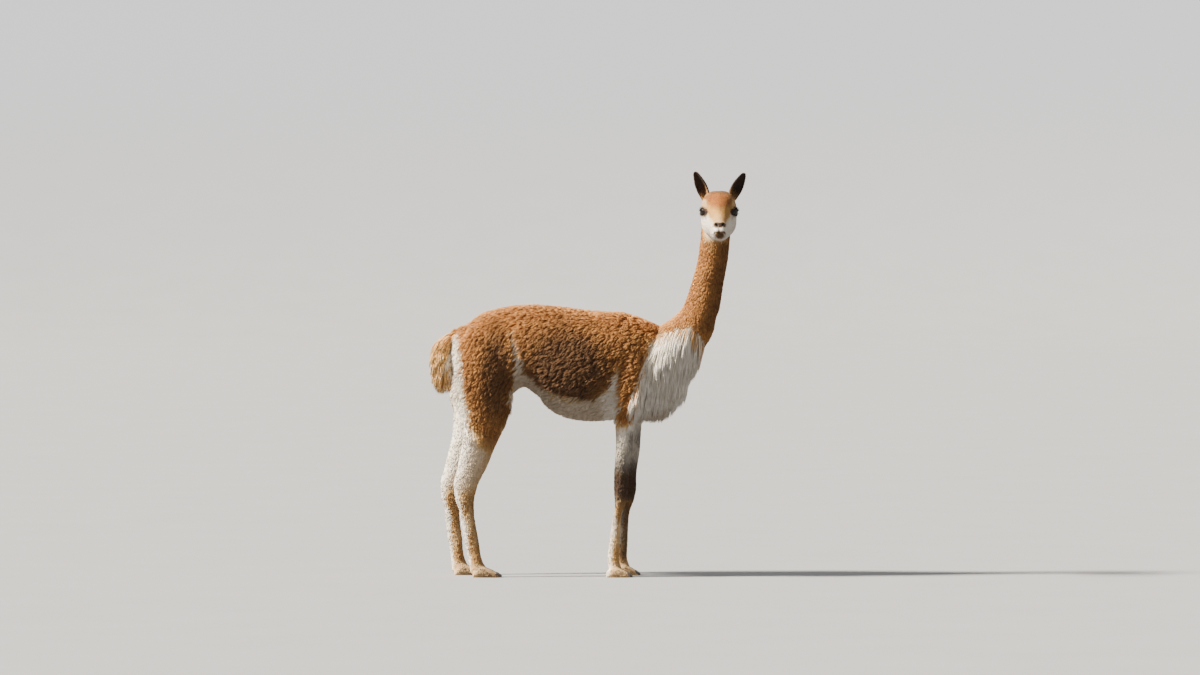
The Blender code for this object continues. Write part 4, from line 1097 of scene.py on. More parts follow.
FAWN_DEEP = (0.175, 0.064, 0.021)
FAWN_LIGHT = (0.70, 0.325, 0.088)
GOLD_DEEP = (0.46, 0.25, 0.09)
GOLD_LIGHT = (0.94, 0.61, 0.23)
CREAM_DEEP = (0.73, 0.63, 0.49)
CREAM_LIGHT = (0.97, 0.91, 0.81)
# Dark brown, for dark hair and for painted shade and shadow
BROWN_DEEP = (0.018, 0.010, 0.007)
BROWN_LIGHT = (0.070, 0.042, 0.028)
FOREHEAD = (0.390, -0.085, 1.168)
BRIDGE = (0.393, -0.115, 1.138)
FACE_REACH = 0.060
RUDDY = (1.0, 0.74, 0.34)
YELLOW = (1.0, 0.92, 0.55)
EYE_DARK = (0.004, 0.003, 0.003)
EYE_BROWN = (0.024, 0.011, 0.006)
EYE_GRAIN = (900.0, 2.0)
EYE_ROUGHNESS = 0.08
EYE_SPECULAR = 0.20
PUPIL_HALF_WIDTH = 0.0068
PUPIL_HALF_HEIGHT = 0.0036
IRIS_RADIUS = 0.0112
NAIL_DARK = (0.020, 0.016, 0.014)
NAIL_LIGHT = (0.085, 0.066, 0.052)
NAIL_STRETCH = (60.0, 900.0, 500.0)
NAIL_ROUGHNESS = (0.3, 0.35)
NAIL_BUMP = (0.4, 0.0006)

# Hair's tone from deep to light: shares of tip, draw, broad and fine noise, and their offsets. The tip
# share is painted shade, darker at each tuft's root
TIP_TONE = 0.46
DRAW_TONE = 0.30
BROAD_SCALE = 19.0
BROAD_TONE = (0.9, -0.43)
FINE_TONE = (0.5, -0.20)
FINE_DETAIL = 4.0
TUFT_GRAIN = {"scale": 160.0, "bump": (0.3, 0.0006)}
SKIN_GRAIN = {"scale": 420.0, "bump": (0.55, 0.0012)}
HAIR_ROUGHNESS = (0.15, 0.78)
HAIR_SPECULAR = 0.16
HAIR_SHEEN = 0.05
HAIR_SHEEN_ROUGHNESS = 0.5
TINT_CORE = 0.3
TO_GOLD = 2.2
TO_PALE = (1.55, -0.55)


class Graph:
    """A new material, its nodes made and fed one after the other."""

    def __init__(self, name):
        self.material = bpy.data.materials.new(name)
        self.material.use_nodes = True
        self.tree = self.material.node_tree
        self.shader = self.tree.nodes["Principled BSDF"]

    def feed(self, sockets, values):
        """Sets each socket to its plain value, or links it to another socket."""
        for name, value in values.items():
            if isinstance(value, bpy.types.NodeSocket):
                self.tree.links.new(value, sockets[name])
            elif sockets[name].type == "RGBA":
                sockets[name].default_value = (*value, 1.0)
            else:
                sockets[name].default_value = value

    def node(self, kind, inputs, **settings):
        made = self.tree.nodes.new("ShaderNode" + kind)
        for name, value in settings.items():
            setattr(made, name, value)
        self.feed(made.inputs, inputs)
        return made.outputs

    def place(self):
        return self.node("TexCoord", {})["Object"]

    def split(self, vector):
        return self.node("SeparateXYZ", {"Vector": vector})

    def mix(self, factor, first, second, blend="MIX"):
        return self.node("Mix", {"Factor": factor, "A": first, "B": second},
                         data_type="RGBA", blend_type=blend)["Result"]

    def math(self, operation, *values):
        return self.node("Math", dict(enumerate(values)), operation=operation)[0]

    def noise(self, vector, scale, detail=3.0, roughness=0.55):
        return self.node("TexNoise", {"Vector": vector, "Scale": scale, "Detail": detail,
                                      "Roughness": roughness})["Fac"]

    def soft_range(self, value, start, end):
        return self.node("MapRange", {"Value": value, "From Min": start, "From Max": end},
                         interpolation_type="SMOOTHSTEP")["Result"]

    def tint(self, vector, colour, middle, factor):
        """The colour times the factor near a place, less and less up to the face's reach."""
        distance = self.node("VectorMath", {0: vector, 1: middle}, operation="DISTANCE")["Value"]
        share = self.soft_range(distance, FACE_REACH, TINT_CORE * FACE_REACH)
        return self.mix(share, colour, factor, "MULTIPLY")

    def bump(self, height, strength, distance):
        return self.node("Bump", {"Height": height, "Strength": strength,
                                  "Distance": distance})["Normal"]

    def finish(self, values):
        self.feed(self.shader.inputs, values)
        return self.material


def hair_material(name, grain):
    """Fawn, white and dark brown hair by the marks on the mesh, with painted shade in the dark brown and
    towards the tufts' roots.
    """
    graph = Graph(name)
    marks = graph.node("Attribute", {}, attribute_name="marks")
    white, dark, draw = list(graph.node("SeparateColor", {"Color": marks["Color"]}))
    place = graph.place()
    fine = graph.noise(place, grain["scale"], FINE_DETAIL)
    # Painted shade: the tip share darkens each tuft towards its root
    tone = graph.math("MULTIPLY_ADD", marks["Alpha"], TIP_TONE, graph.math("MULTIPLY", draw, DRAW_TONE))
    for texture, share in ((graph.noise(place, BROAD_SCALE), BROAD_TONE), (fine, FINE_TONE)):
        tone = graph.math("ADD", tone, graph.math("MULTIPLY_ADD", texture, *share))
    tone = graph.node("Clamp", {"Value": tone})["Result"]
    fawn = graph.tint(place, graph.mix(tone, FAWN_DEEP, FAWN_LIGHT), FOREHEAD, RUDDY)
    gold = graph.tint(place, graph.mix(tone, GOLD_DEEP, GOLD_LIGHT), BRIDGE, YELLOW)
    pale = graph.mix(tone, CREAM_DEEP, CREAM_LIGHT)
    brown = graph.mix(tone, BROWN_DEEP, BROWN_LIGHT)
    colour = graph.mix(graph.math("MULTIPLY", white, TO_GOLD), fawn, gold)
    colour = graph.mix(graph.math("MULTIPLY_ADD", white, *TO_PALE), colour, pale)
    return graph.finish({
        "Base Color": graph.mix(dark, colour, brown),
        "Roughness": graph.math("MULTIPLY_ADD", fine, *HAIR_ROUGHNESS),
        "Specular IOR Level": HAIR_SPECULAR,
        "Sheen Weight": HAIR_SHEEN,
        "Sheen Roughness": HAIR_SHEEN_ROUGHNESS,
        "Normal": graph.bump(fine, *grain["bump"]),
    })


def eye_material():
    """A dark brown iris round a long level pupil, under a wet surface."""
    graph = Graph("eye_gloss")
    place = graph.place()
    up, across = list(graph.split(place))[:2]

    def squares(half_width, half_height):
        wide = graph.math("POWER", graph.math("DIVIDE", across, half_width), 2.0)
        tall = graph.math("POWER", graph.math("DIVIDE", up, half_height), 2.0)
        return graph.math("ADD", wide, tall)

    iris = graph.mix(graph.noise(place, *EYE_GRAIN), EYE_BROWN, EYE_DARK)
    pupil = graph.math("LESS_THAN", squares(PUPIL_HALF_WIDTH, PUPIL_HALF_HEIGHT), 1.0)
    rim = graph.math("GREATER_THAN", squares(IRIS_RADIUS, IRIS_RADIUS), 1.0)
    shown = graph.mix(rim, graph.mix(pupil, iris, EYE_DARK), EYE_DARK)
    return graph.finish({"Base Color": shown, "Roughness": EYE_ROUGHNESS,
                         "Specular IOR Level": EYE_SPECULAR})


def nail_material():
    """Dark horn with streaks along it."""
    graph = Graph("nail_horn")
    stretched = graph.node("Mapping", {"Vector": graph.place(), "Scale": NAIL_STRETCH})
    streaks = graph.noise(stretched["Vector"], 1.0)
    return graph.finish({
        "Base Color": graph.mix(streaks, NAIL_DARK, NAIL_LIGHT),
        "Roughness": graph.math("MULTIPLY_ADD", streaks, *NAIL_ROUGHNESS),
        "Normal": graph.bump(streaks, *NAIL_BUMP),
    })


TINY = 1e-9


def unit(vectors):
    return vectors / np.maximum(np.linalg.norm(vectors, axis=1, keepdims=True), TINY)


# The way that hair runs on each part, x, y, z
FLEECE_RUN = (-0.85, 0.0, -0.55)
RUMP_DROP = (0.0, 0.5, -0.20, -0.30)
LEG_RUN = (0.0, 0.0, -1.0)
CHEST_RUN = (-0.20, 0.0, -1.0)
NECK_RUN = (-0.25, 0.0, -1.0)
TAIL_RUN = (-0.15, 0.0, -1.0)
FACE_RUN = (0.25, 0.9, -0.35)
FACE_TOP_RISE = 0.3
NECK_START = (0.74, 0.80)
NECK_AHEAD = (0.20, 0.28)
CHEST_START = (-0.02, 0.03)
CHEST_LOWEST = 0.42
LEG_START = (0.54, 0.46)
TAIL_BACK = (-0.42, -0.44)


def lie_of(places, normals):
    """The way the hair runs over the skin."""
    x, _, z = places.T
    head = head_share(places)
    neck = ease(*NECK_START, z) * ease(*NECK_AHEAD, x) * (1 - head)
    chest = ease(*CHEST_START, x - along(CHEST_BACK, z)) * (z > CHEST_LOWEST) * (1 - head) * (1 - neck)
    run = np.tile(FLEECE_RUN, (len(places), 1))
    run[:, 2] -= graded(RUMP_DROP, x)
    sideways, back, lower = FACE_RUN
    face = np.stack([np.sign(x - HEAD_X) * sideways, np.full(len(x), back),
                     np.where(normals[:, 2] > FACE_TOP_RISE, FACE_TOP_RISE, lower)], axis=1)
    for share, way in ((ease(*LEG_START, z), LEG_RUN), (chest, CHEST_RUN), (neck, NECK_RUN),
                       (ease(*TAIL_BACK, x), TAIL_RUN), (head, face)):
        run = run * (1 - share)[:, None] + np.array(way) * share[:, None]
    return along_skin(run, normals)


def along_skin(run, normals):
    flat = run - normals * np.sum(run * normals, axis=1, keepdims=True)
    return unit(flat)


def sample_skin(places, normals, triangles, kind, seed):
    """Random places over the skin, as many as the coat's density asks, with their normals."""
    rng = np.random.default_rng(seed)
    corner = places[triangles]
    edges = np.cross(corner[:, 1] - corner[:, 0], corner[:, 2] - corner[:, 0])
    area = np.linalg.norm(edges, axis=1) / 2
    facing = unit(normals[triangles].mean(axis=1))
    wanted = area * coat_density(kind, corner.mean(axis=1), facing) * QUICK_SHARE
    index = np.repeat(np.arange(len(triangles)), rng.poisson(wanted))
    first = rng.uniform(size=len(index))
    second = rng.uniform(size=len(index))
    folded = first + second > 1
    first[folded] = 1 - first[folded]
    second[folded] = 1 - second[folded]
    shares = np.stack([1 - first - second, first, second], axis=1)
    spots = np.einsum("nk,nkd->nd", shares, corner[index])
    ways = unit(np.einsum("nk,nkd->nd", shares, normals[triangles][index]))
    return spots, ways


CELL_KEYS = (73856093, 19349663, 83492791)


def even_out(spots, ways, spacing):
    """Keeps one place in each small cell, so that none crowd."""
    x, y, z = (np.floor(spots / spacing).astype(np.int64) * CELL_KEYS).T
    _, kept = np.unique(x ^ y ^ z, return_index=True)
    return spots[kept], ways[kept]


ROOT_DEPTH = 0.0012
ROOT_SHARE = 0.05
LIFT_SPREAD = (0.7, 1.3)
LIE_OVER = 1.15
CURL_START = 0.2


def hair_paths(spots, ways, run, lengths, rise, fall, sag, curl, steps, rng):
    """Spines that leave the skin at an angle, lie over, curl to one side and hang."""
    side = np.cross(ways, run)
    bend = rng.normal(size=len(spots)) * curl
    lift = rise * rng.uniform(*LIFT_SPREAD, len(spots))
    place = spots - ways * np.minimum(ROOT_DEPTH, ROOT_SHARE * lengths)[:, None]
    paths = [place]
    for step in range(1, steps):
        share = (step - 0.5) / (steps - 1)
        angle = lift * (1 - LIE_OVER * share)
        heading = (run * np.cos(angle)[:, None] + ways * np.sin(angle)[:, None]
                   + side * (bend * (share - CURL_START))[:, None])
        heading = heading * (1 - sag * share) + np.array(fall) * (sag * share)
        place = place + unit(heading) * (lengths / (steps - 1))[:, None]
        paths.append(place)
    return np.stack(paths, axis=1)


CLUMP_TAPER = 1.2


def gather(paths, spots, centre_paths, centres, strength):
    """Draws each spine towards the middle spine of its clump, most at the tip."""
    tree = kdtree.KDTree(len(centres))
    for index, centre in enumerate(centres):
        tree.insert(centre, index)
    tree.balance()
    nearest = np.empty(len(spots), dtype=int)
    distance = np.empty(len(spots))
    for index, spot in enumerate(spots):
        _, nearest[index], distance[index] = tree.find(spot)
    share = np.linspace(0, 1, paths.shape[1])[None, :, None] ** CLUMP_TAPER
    pull = share * strength[:, None, None]
    return paths * (1 - pull) + centre_paths[nearest] * pull, nearest, distance


PATCH_SIZE = 0.003
PATCH_MARGIN = 0.01
SIDES_OF_TUFT = 3


def tuft_sections(paths, ways, widths, thickness, profile):
    """Corners of the three-sided tapering body along each spine, and its tip."""
    count, steps, _ = paths.shape
    rings = steps - 1
    heading = np.concatenate([paths[:, 1:2] - paths[:, :1], paths[:, 2:] - paths[:, :-2],
                              paths[:, -1:] - paths[:, -2:-1]], axis=1)
    heading /= np.maximum(np.linalg.norm(heading, axis=2, keepdims=True), TINY)
    across = np.cross(heading, ways[:, None, :])
    across /= np.maximum(np.linalg.norm(across, axis=2, keepdims=True), TINY)
    outward = np.cross(across, heading)[:, :rings]
    across = across[:, :rings]
    wide = (widths[:, None] / 2 * profile[None, :rings])[:, :, None]
    thick = thickness * profile[None, :rings, None]
    body = paths[:, :rings]
    corners = [body + across * wide - outward * thick / 3,
               body - across * wide - outward * thick / 3,
               body + outward * thick * 2 / 3]
    sections = np.stack(corners, axis=2).reshape(count, rings * SIDES_OF_TUFT, 3)
    return np.concatenate([sections, paths[:, -1:]], axis=1)


def tuft_faces(rings):
    """Corner numbers of one tuft's triangles: its root, its sides and its tip."""
    faces = [(0, 1, 2)]
    tip = rings * SIDES_OF_TUFT
    for level in range(rings):
        for corner in range(SIDES_OF_TUFT):
            a = level * SIDES_OF_TUFT + corner
            b = level * SIDES_OF_TUFT + (corner + 1) % SIDES_OF_TUFT
            if level == rings - 1:
                faces.append((b, a, tip))
            else:
                faces += [(b, a, a + SIDES_OF_TUFT), (b, a + SIDES_OF_TUFT, b + SIDES_OF_TUFT)]
    return np.array(faces)


def tuft_mesh(name, paths, ways, widths, thickness, marks, patch, profile, material):
    """Joined closed tufts, with their marks and the map of their roots."""
    count, steps, _ = paths.shape
    rings = steps - 1
    corners = tuft_sections(paths, ways, widths, thickness, profile)
    per = corners.shape[1]
    faces = (tuft_faces(rings)[None] + np.arange(count)[:, None, None] * per).reshape(-1, 3)
    mesh = bpy.data.meshes.new(name)
    mesh.vertices.add(count * per)
    mesh.vertices.foreach_set("co", corners.astype(np.float32).ravel())
    mesh.loops.add(faces.size)
    mesh.loops.foreach_set("vertex_index", faces.astype(np.int32).ravel())
    mesh.polygons.add(len(faces))
    mesh.polygons.foreach_set("loop_start", np.arange(0, faces.size, 3, dtype=np.int32))
    shade_smooth(mesh)
    mesh.update(calc_edges=True)
    share = np.append(np.repeat(np.linspace(0, 1, steps)[:rings], SIDES_OF_TUFT), 1.0)
    colour = np.empty((count, per, 4))
    colour[:, :, :3] = np.stack(marks, axis=1)[:, None]
    colour[:, :, 3] = share
    add_marks(mesh, colour)
    within = np.stack([np.append(np.tile((0.5, -0.5, 0.0), rings), 0.0), share - 0.5], axis=1)
    spread = (patch[:, None] + within[None] * PATCH_SIZE).reshape(-1, 2)
    uv = mesh.uv_layers.new(name="OFBake")
    uv.data.foreach_set("uv", spread[faces.ravel()].astype(np.float32).ravel())
    mesh.materials.append(material)
    made = new_object(name, mesh)
    made.location = SHIFT
    return made


# Unwraps of the skin, by name: start and length of the run along the form
CHART_RUNS = {
    "trunk": (-0.44, 0.75),
    "column": (0.44, 0.75),
    "head": (-0.1, 0.26),
    "tail": (0.55, 0.24),
    "legs": (0.0, 0.62),
}
HEAD_AXIS_Z = 1.09
TAIL_AXIS_X = -0.45
HIND_AXIS_X = -0.341
FORE_AXIS_X = 0.080
LEG_AXIS_Y = 0.065
LEG_CHART = (0.23, 0.25)


def chart(spots, kind):
    """Place of each root on an unwrap of the skin round the form's own axis."""
    x, y, z = spots.T
    if kind == "trunk":
        run = x
        turn = np.arctan2(y, z - (along(TORSO, x) + along(TORSO, x, 2)) / 2)
    elif kind == "column":
        run = z
        turn = np.arctan2(y, x - (along(NECK, z) + along(NECK, z, 2)) / 2)
    elif kind == "head":
        run = EYE_PLANE_Y - y
        turn = np.arctan2(x - HEAD_X, z - HEAD_AXIS_Z)
    elif kind == "tail":
        run = z
        turn = np.arctan2(y, TAIL_AXIS_X - x)
    else:
        run = z
        axis = np.where(x < 0, HIND_AXIS_X + stride_of(spots, HIND_STRIDE),
                        FORE_AXIS_X + stride_of(spots, FORE_STRIDE))
        turn = np.arctan2(np.abs(y) - LEG_AXIS_Y, x - axis)
    start, length = CHART_RUNS[kind]
    share = turn / (2 * math.pi) + 0.5
    run = np.clip((run - start) / length, 0, 1) * (1 - 2 * PATCH_MARGIN) + PATCH_MARGIN
    if kind == "legs":
        width, step = LEG_CHART
        across = share * width + PATCH_MARGIN + (2 * (x < 0) + (y > 0)) * step
    else:
        across = share * (1 - 2 * PATCH_MARGIN) + PATCH_MARGIN
    return np.stack([across, run], axis=1)


# Each coat: its chart, tufts per square metre, length, width and thickness of a tuft, how it
# rises, hangs and curls, its steps, clump size and pull, turn of a clump, axis that parts pieces
Coat = namedtuple("Coat", "chart density length width thickness rise sag curl steps clump pull turn axis")
COATS = {
    "fleece": Coat("trunk", 72000, 0.024, 0.0023, 0.0012, 0.78, 0.12, 0.6, 4, 0.0105, 0.42, 0.34, 0),
    "belly": Coat("trunk", 60000, 0.024, 0.0028, 0.0012, 0.45, 0.25, 0.5, 4, 0.014, 0.50, 0.3, 0),
    "bib": Coat("column", 66000, 0.085, 0.0026, 0.0012, 0.34, 0.80, 0.25, 5, 0.013, 0.55, 0.12, 1),
    "neck": Coat("column", 125000, 0.017, 0.0022, 0.0010, 0.42, 0.05, 0.35, 3, 0.010, 0.45, 0.25, 1),
    "head": Coat("head", 260000, 0.0070, 0.0014, 0.0006, 0.36, 0.0, 0.25, 3, 0.005, 0.30, 0.15, 1),
    "leg": Coat("legs", 72000, 0.0110, 0.0020, 0.0008, 0.26, 0.0, 0.25, 3, 0.007, 0.32, 0.2, 0),
    "tail": Coat("tail", 120000, 0.062, 0.0032, 0.0015, 0.75, 0.55, 0.45, 5, 0.014, 0.50, 0.2, 1),
}

# Bounds of each coat's roots
TAIL_ROOTS = (-0.425, 0.04, 0.775)
BIB_EDGE = 0.004
BIB_LOWEST = 0.49
NECK_ROOTS = (0.22, 0.70)
HIND_LEG_TOP = 0.435
HIND_LEG_WAVE = 0.02
HIND_LEG_WAVES = (60.0, 9)
FORE_LEG_TOP = 0.485
LOWER_THIGH = (-0.1, 0.56, 0.2)
BELLY_ROOTS = (-0.235, 0.06, 0.006)
UNDER_ROOTS = (-0.5, 0.62)
INNER_THIGH = (-0.2, 0.70, -0.2, 0.9)


def coat_shares(places, normals):
    """Which coat covers each place, as one share for each coat."""
    x, y, z = places.T
    outward = normals[:, 1] * np.sign(y)
    tail = (x < TAIL_ROOTS[0]) & (np.abs(y) < TAIL_ROOTS[1]) & (z < TAIL_ROOTS[2])
    chest = (ease(-BIB_EDGE, BIB_EDGE, x - along(CHEST_BACK, z))
             * (z < along(CHEST_TOP, x) + BIB_EDGE) * (z > BIB_LOWEST))
    neck = (x > NECK_ROOTS[0]) & (z > NECK_ROOTS[1])
    waves = HIND_LEG_WAVE * wobble(places, *HIND_LEG_WAVES)
    leg_top = np.where(x < 0, HIND_LEG_TOP + waves, FORE_LEG_TOP)
    leg = (z < leg_top) | ((x < LOWER_THIGH[0]) & (z < LOWER_THIGH[1]) & (outward < LOWER_THIGH[2]))
    belly = (x > BELLY_ROOTS[0]) & (x < BELLY_ROOTS[1]) & (z < along(FLANK_EDGE, x) + BELLY_ROOTS[2])
    belly |= (normals[:, 2] < UNDER_ROOTS[0]) & (z < UNDER_ROOTS[1])
    belly |= ((x < INNER_THIGH[0]) & (z < INNER_THIGH[1]) & (outward < INNER_THIGH[2])
              & (np.abs(normals[:, 1]) < INNER_THIGH[3]))
    shares = {}
    left_over = np.ones(len(places))
    for name, share in (("head", head_share(places)), ("tail", tail), ("bib", chest),
                        ("neck", neck), ("leg", leg), ("belly", belly)):
        shares[name] = left_over * share
        left_over = left_over * (1 - share.astype(float))
    shares["fleece"] = left_over
    return shares


LID_BARE = 1.22
NOSTRIL_BARE = 1.25
EAR_BARE = (0.022, 1.186)
SOLE_BARE = 0.004


def near_ear(places):
    inside = np.zeros(len(places), dtype=bool)
    for side in (LEFT, RIGHT):
        distance, _ = ear_axis_distance(places, side)
        inside |= (distance < EAR_BARE[0]) & (places[:, 2] > EAR_BARE[1])
    return inside


def turned(run, ways, angles):
    """The run, turned round the skin's normal."""
    side = np.cross(ways, run)
    return run * np.cos(angles)[:, None] + side * np.sin(angles)[:, None]


# Shares that grow with a measure: the least, the gain, where it starts and ends
BIB_LENGTH = (0.55, 0.45, 0.79, 0.70)
HEAD_LENGTH = (0.55, 0.75, 0.06, -0.03)
HEAD_WIDTH = (0.7, 0.5, 0.06, -0.03)
FOOT_LENGTH = (0.55, 0.45, 0.03, 0.12)
KNEE_LENGTH = (0.0, 0.35, 0.34, 0.5)
LOW_FLEECE_LENGTH = (0.42, 0.58, 0.43, 0.57)
THIGH_SHORTENING = 0.25
LENGTH_SPREAD = (0.75, 1.2)
WIDTH_SPREAD = (0.7, 1.25)

# Heights that the locks of chest and tail end at
LOCK_ENDS = {"bib": 0.462, "tail": 0.562}
LOCK_SPREAD = {"bib": (0.8, 1.05), "tail": (0.55, 1.08)}
LEAST_LOCK = 0.015
LEAST_TAIL_LOCK = 0.012
BIB_SLOPE = 0.38
CLUMP_SHARE = 0.12
LEAST_CLUMPS = 8
CLUMP_CURL = 1.4
PULL_SPREAD = (0.6, 1.2)
DRAW = (-0.05, 0.45, 0.35, 0.35)
THIGH_BACK = (-0.22, -0.26)
THIGH_LOW = (0.80, 0.70)
COAT_FALL = (-0.05, 0.0, -1.0)
LOWEST_HAIR = 0.0012
COLOUR_SCATTER = 0.0045
HEAD_COLOUR_SCATTER = 0.0012
TAPER = ((0, 0.3, 0.7, 1), (0.75, 1.0, 0.8, 0.2))


def tuft_sizes(kind, spots, rng):
    """Length and width of each tuft, less where the coat ends or the form is small."""
    x, y, z = spots.T
    lengths = COATS[kind].length * rng.uniform(*LENGTH_SPREAD, len(spots))
    widths = COATS[kind].width * rng.uniform(*WIDTH_SPREAD, len(spots)) / math.sqrt(QUICK_SHARE)
    if kind == "bib":
        room = np.maximum(z - LOCK_ENDS[kind] - BIB_SLOPE * np.abs(y), LEAST_LOCK)
        lengths = lengths * graded(BIB_LENGTH, z)
    if kind == "tail":
        room = np.maximum(z - LOCK_ENDS[kind], LEAST_TAIL_LOCK)
    if kind in LOCK_ENDS:
        lengths = np.minimum(lengths, room * rng.uniform(*LOCK_SPREAD[kind], len(spots)))
    if kind == "head":
        lengths = lengths * graded(HEAD_LENGTH, EYE_PLANE_Y - y)
        widths = widths * graded(HEAD_WIDTH, EYE_PLANE_Y - y)
    if kind == "leg":
        lengths = lengths * (graded(FOOT_LENGTH, z) + graded(KNEE_LENGTH, z))
    if kind == "fleece":
        thigh = ease(*THIGH_BACK, x) * ease(*THIGH_LOW, z)
        lengths = lengths * (1 - THIGH_SHORTENING * thigh) * graded(LOW_FLEECE_LENGTH, z)
    return lengths, widths


def coat_piece(name, kind, spots, ways, material, seed):
    """Makes the tufts of one stretch of coat."""
    coat = COATS[kind]
    rng = np.random.default_rng(seed)
    lengths, widths = tuft_sizes(kind, spots, rng)
    chosen = rng.permutation(len(spots))[:max(LEAST_CLUMPS, int(len(spots) * CLUMP_SHARE))]
    centres, centre_ways = even_out(spots[chosen], ways[chosen], coat.clump)
    angles = rng.normal(size=len(centres)) * coat.turn
    centre_run = turned(lie_of(centres, centre_ways), centre_ways, angles)
    centre_lengths = np.full(len(centres), coat.length)
    if kind in LOCK_ENDS:
        room = np.maximum(centres[:, 2] - LOCK_ENDS[kind], LEAST_LOCK)
        centre_lengths = np.minimum(centre_lengths, room)
    centre_paths = hair_paths(centres, centre_ways, centre_run, centre_lengths, coat.rise,
                              COAT_FALL, coat.sag, coat.curl * CLUMP_CURL, coat.steps, rng)
    paths = hair_paths(spots, ways, lie_of(spots, ways), lengths, coat.rise,
                       COAT_FALL, coat.sag, coat.curl, coat.steps, rng)
    strength = coat.pull * rng.uniform(*PULL_SPREAD, len(spots))
    paths, nearest, distance = gather(paths, spots, centre_paths, centres, strength)
    paths[:, :, 2] = np.maximum(paths[:, :, 2], LOWEST_HAIR)
    clump_tone = rng.uniform(0, 1, len(centres))[nearest]
    inmost = 1 - np.clip(distance / coat.clump, 0, 1)
    draw = weighted(DRAW, clump_tone, rng.uniform(size=len(spots)), inmost)
    scatter = HEAD_COLOUR_SCATTER if kind == "head" else COLOUR_SCATTER
    white, dark = colour_marks(spots + rng.normal(size=spots.shape) * scatter, ways)
    profile = np.interp(np.linspace(0, 1, coat.steps), *TAPER)
    return tuft_mesh(name, paths, ways, widths, coat.thickness, (white, dark, np.clip(draw, 0, 1)),
                     chart(spots, coat.chart), profile, material)


EAR_TUFTS = 2100
EAR_STEPS = 3
EAR_SEED = 500
EAR_CROWDING = 0.85
EAR_TURN = 0.25
EAR_SPREAD = (0.7, 1.2)
EAR_HAIR = (0.0070, 0.0070)
EAR_OUTER_HAIR = 0.3
EAR_LOW = (0.45, 0.05)
EAR_FAWN = (0.42, 0.06)
EAR_FAWN_SCATTER = 0.06
EAR_FAWN_UP = (0.62, 0.30)
EAR_FAWN_OUT = (-0.2, 0.9)
EAR_WHITE = 0.30
# Dark brown ear hair beyond the fawn root, partly painted shade
EAR_BROWN = (1.0, -0.9)
EAR_HAIR_WIDTH = 0.0015
EAR_HAIR_THICKNESS = 0.0006
EAR_HAIR_RISE = 0.40
EAR_HAIR_CURL = 0.3
EAR_TAPER = (0.8, 1.0, 0.3)
EAR_TIP_LENGTH = ((0.0, 0.9, 1.0), (1.0, 0.8, 0.45))
EAR_CHART = (0.46, 0.96, 0.02, 0.5)


def ear_roots(side, inside, count, rng):
    """Roots, normals and run toward the tip over the outside or inside of an ear."""
    root, tip, facing, across = (np.array(part) for part in ear_frame(side))
    rows = np.array(smooth_rows(EAR, EAR_RINGS_PER_ROW))
    share = rng.uniform(0.0, 1.0, count) ** EAR_CROWDING
    angle = (rng.uniform(0.0, 1.0, count) - 0.5) * EAR_ROLL
    half_width = np.interp(share, rows[:, 0], rows[:, 1])
    depth = np.interp(share, rows[:, 0], rows[:, 2])
    spine = root + share[:, None] * (tip - root)
    bow = np.cos(angle) - math.cos(EAR_ROLL / 2)
    place = spine + across * (half_width * np.sin(angle))[:, None] - facing * (depth * bow)[:, None]
    outward = unit(across * (depth * np.sin(angle))[:, None]
                   - facing * (half_width * np.cos(angle))[:, None])
    way = -outward if inside else outward
    rise = np.tile(unit((tip - root)[None]), (count, 1))
    return place + way * EAR_SKIN / 2, way, along_skin(rise, way), share, angle


def ear_coat(side, word, material):
    """Short hair over both faces of an ear, and longer pale hair inside its root."""
    rng = np.random.default_rng(EAR_SEED + int(side))
    rows = []
    for inside in (False, True):
        place, way, run, share, angle = ear_roots(side, inside, int(EAR_TUFTS * QUICK_SHARE), rng)
        count = len(place)
        run = turned(run, way, rng.normal(size=count) * EAR_TURN)
        low = ease(*EAR_LOW, share) * (1.0 if inside else EAR_OUTER_HAIR)
        length = weighted(EAR_HAIR, low) * rng.uniform(*EAR_SPREAD, count)
        length = length * np.interp(share, *EAR_TIP_LENGTH)
        fawn = ease(*EAR_FAWN, share + rng.normal(size=count) * EAR_FAWN_SCATTER)
        if inside:
            fawn = np.maximum(fawn, ease(*EAR_FAWN_UP, share) * ease(*EAR_FAWN_OUT, -side * angle))
        white = fawn * (EAR_WHITE if inside else 0.0)
        marks = np.stack([white, weighted(EAR_BROWN, fawn), rng.uniform(size=count)], axis=1)
        width, height, margin, step = EAR_CHART
        spread = np.stack([(angle / EAR_ROLL + 0.5) * width + margin + step * inside,
                           share * height + margin], axis=1)
        rows.append((place, way, run, length, marks, spread))
    places, ways, runs, lengths, marks, spread = (np.concatenate(parts) for parts in zip(*rows))
    paths = hair_paths(places, ways, runs, lengths, EAR_HAIR_RISE, UP, 0.0, EAR_HAIR_CURL,
                       EAR_STEPS, rng)
    widths = np.full(len(places), EAR_HAIR_WIDTH) / math.sqrt(QUICK_SHARE)
    return tuft_mesh("coat_ear_" + word, paths, ways, widths, EAR_HAIR_THICKNESS,
                     marks.T, spread, np.array(EAR_TAPER), material)


# Lashes of the upper and the lower lid: first and last angle, count, length
LASHES = ((20, 160, 70, 0.0105), (200, 340, 30, 0.0050))
LASH_SEED = 700
LASH_JITTER = 0.02
LASH_OUTSET = 0.0016
LASH_FORWARD = (0.010, 0.004)
LASH_SPREAD = (0.75, 1.15)
LASH_WIDTH = 0.0008
LASH_THICKNESS = 0.0005
LASH_RISE = 1.0
LASH_SAG = 0.25
LASH_CURL = 0.2
LASH_TAPER = (1.0, 0.9, 0.6, 0.2)
LASH_CHART = (0.05, 0.95)


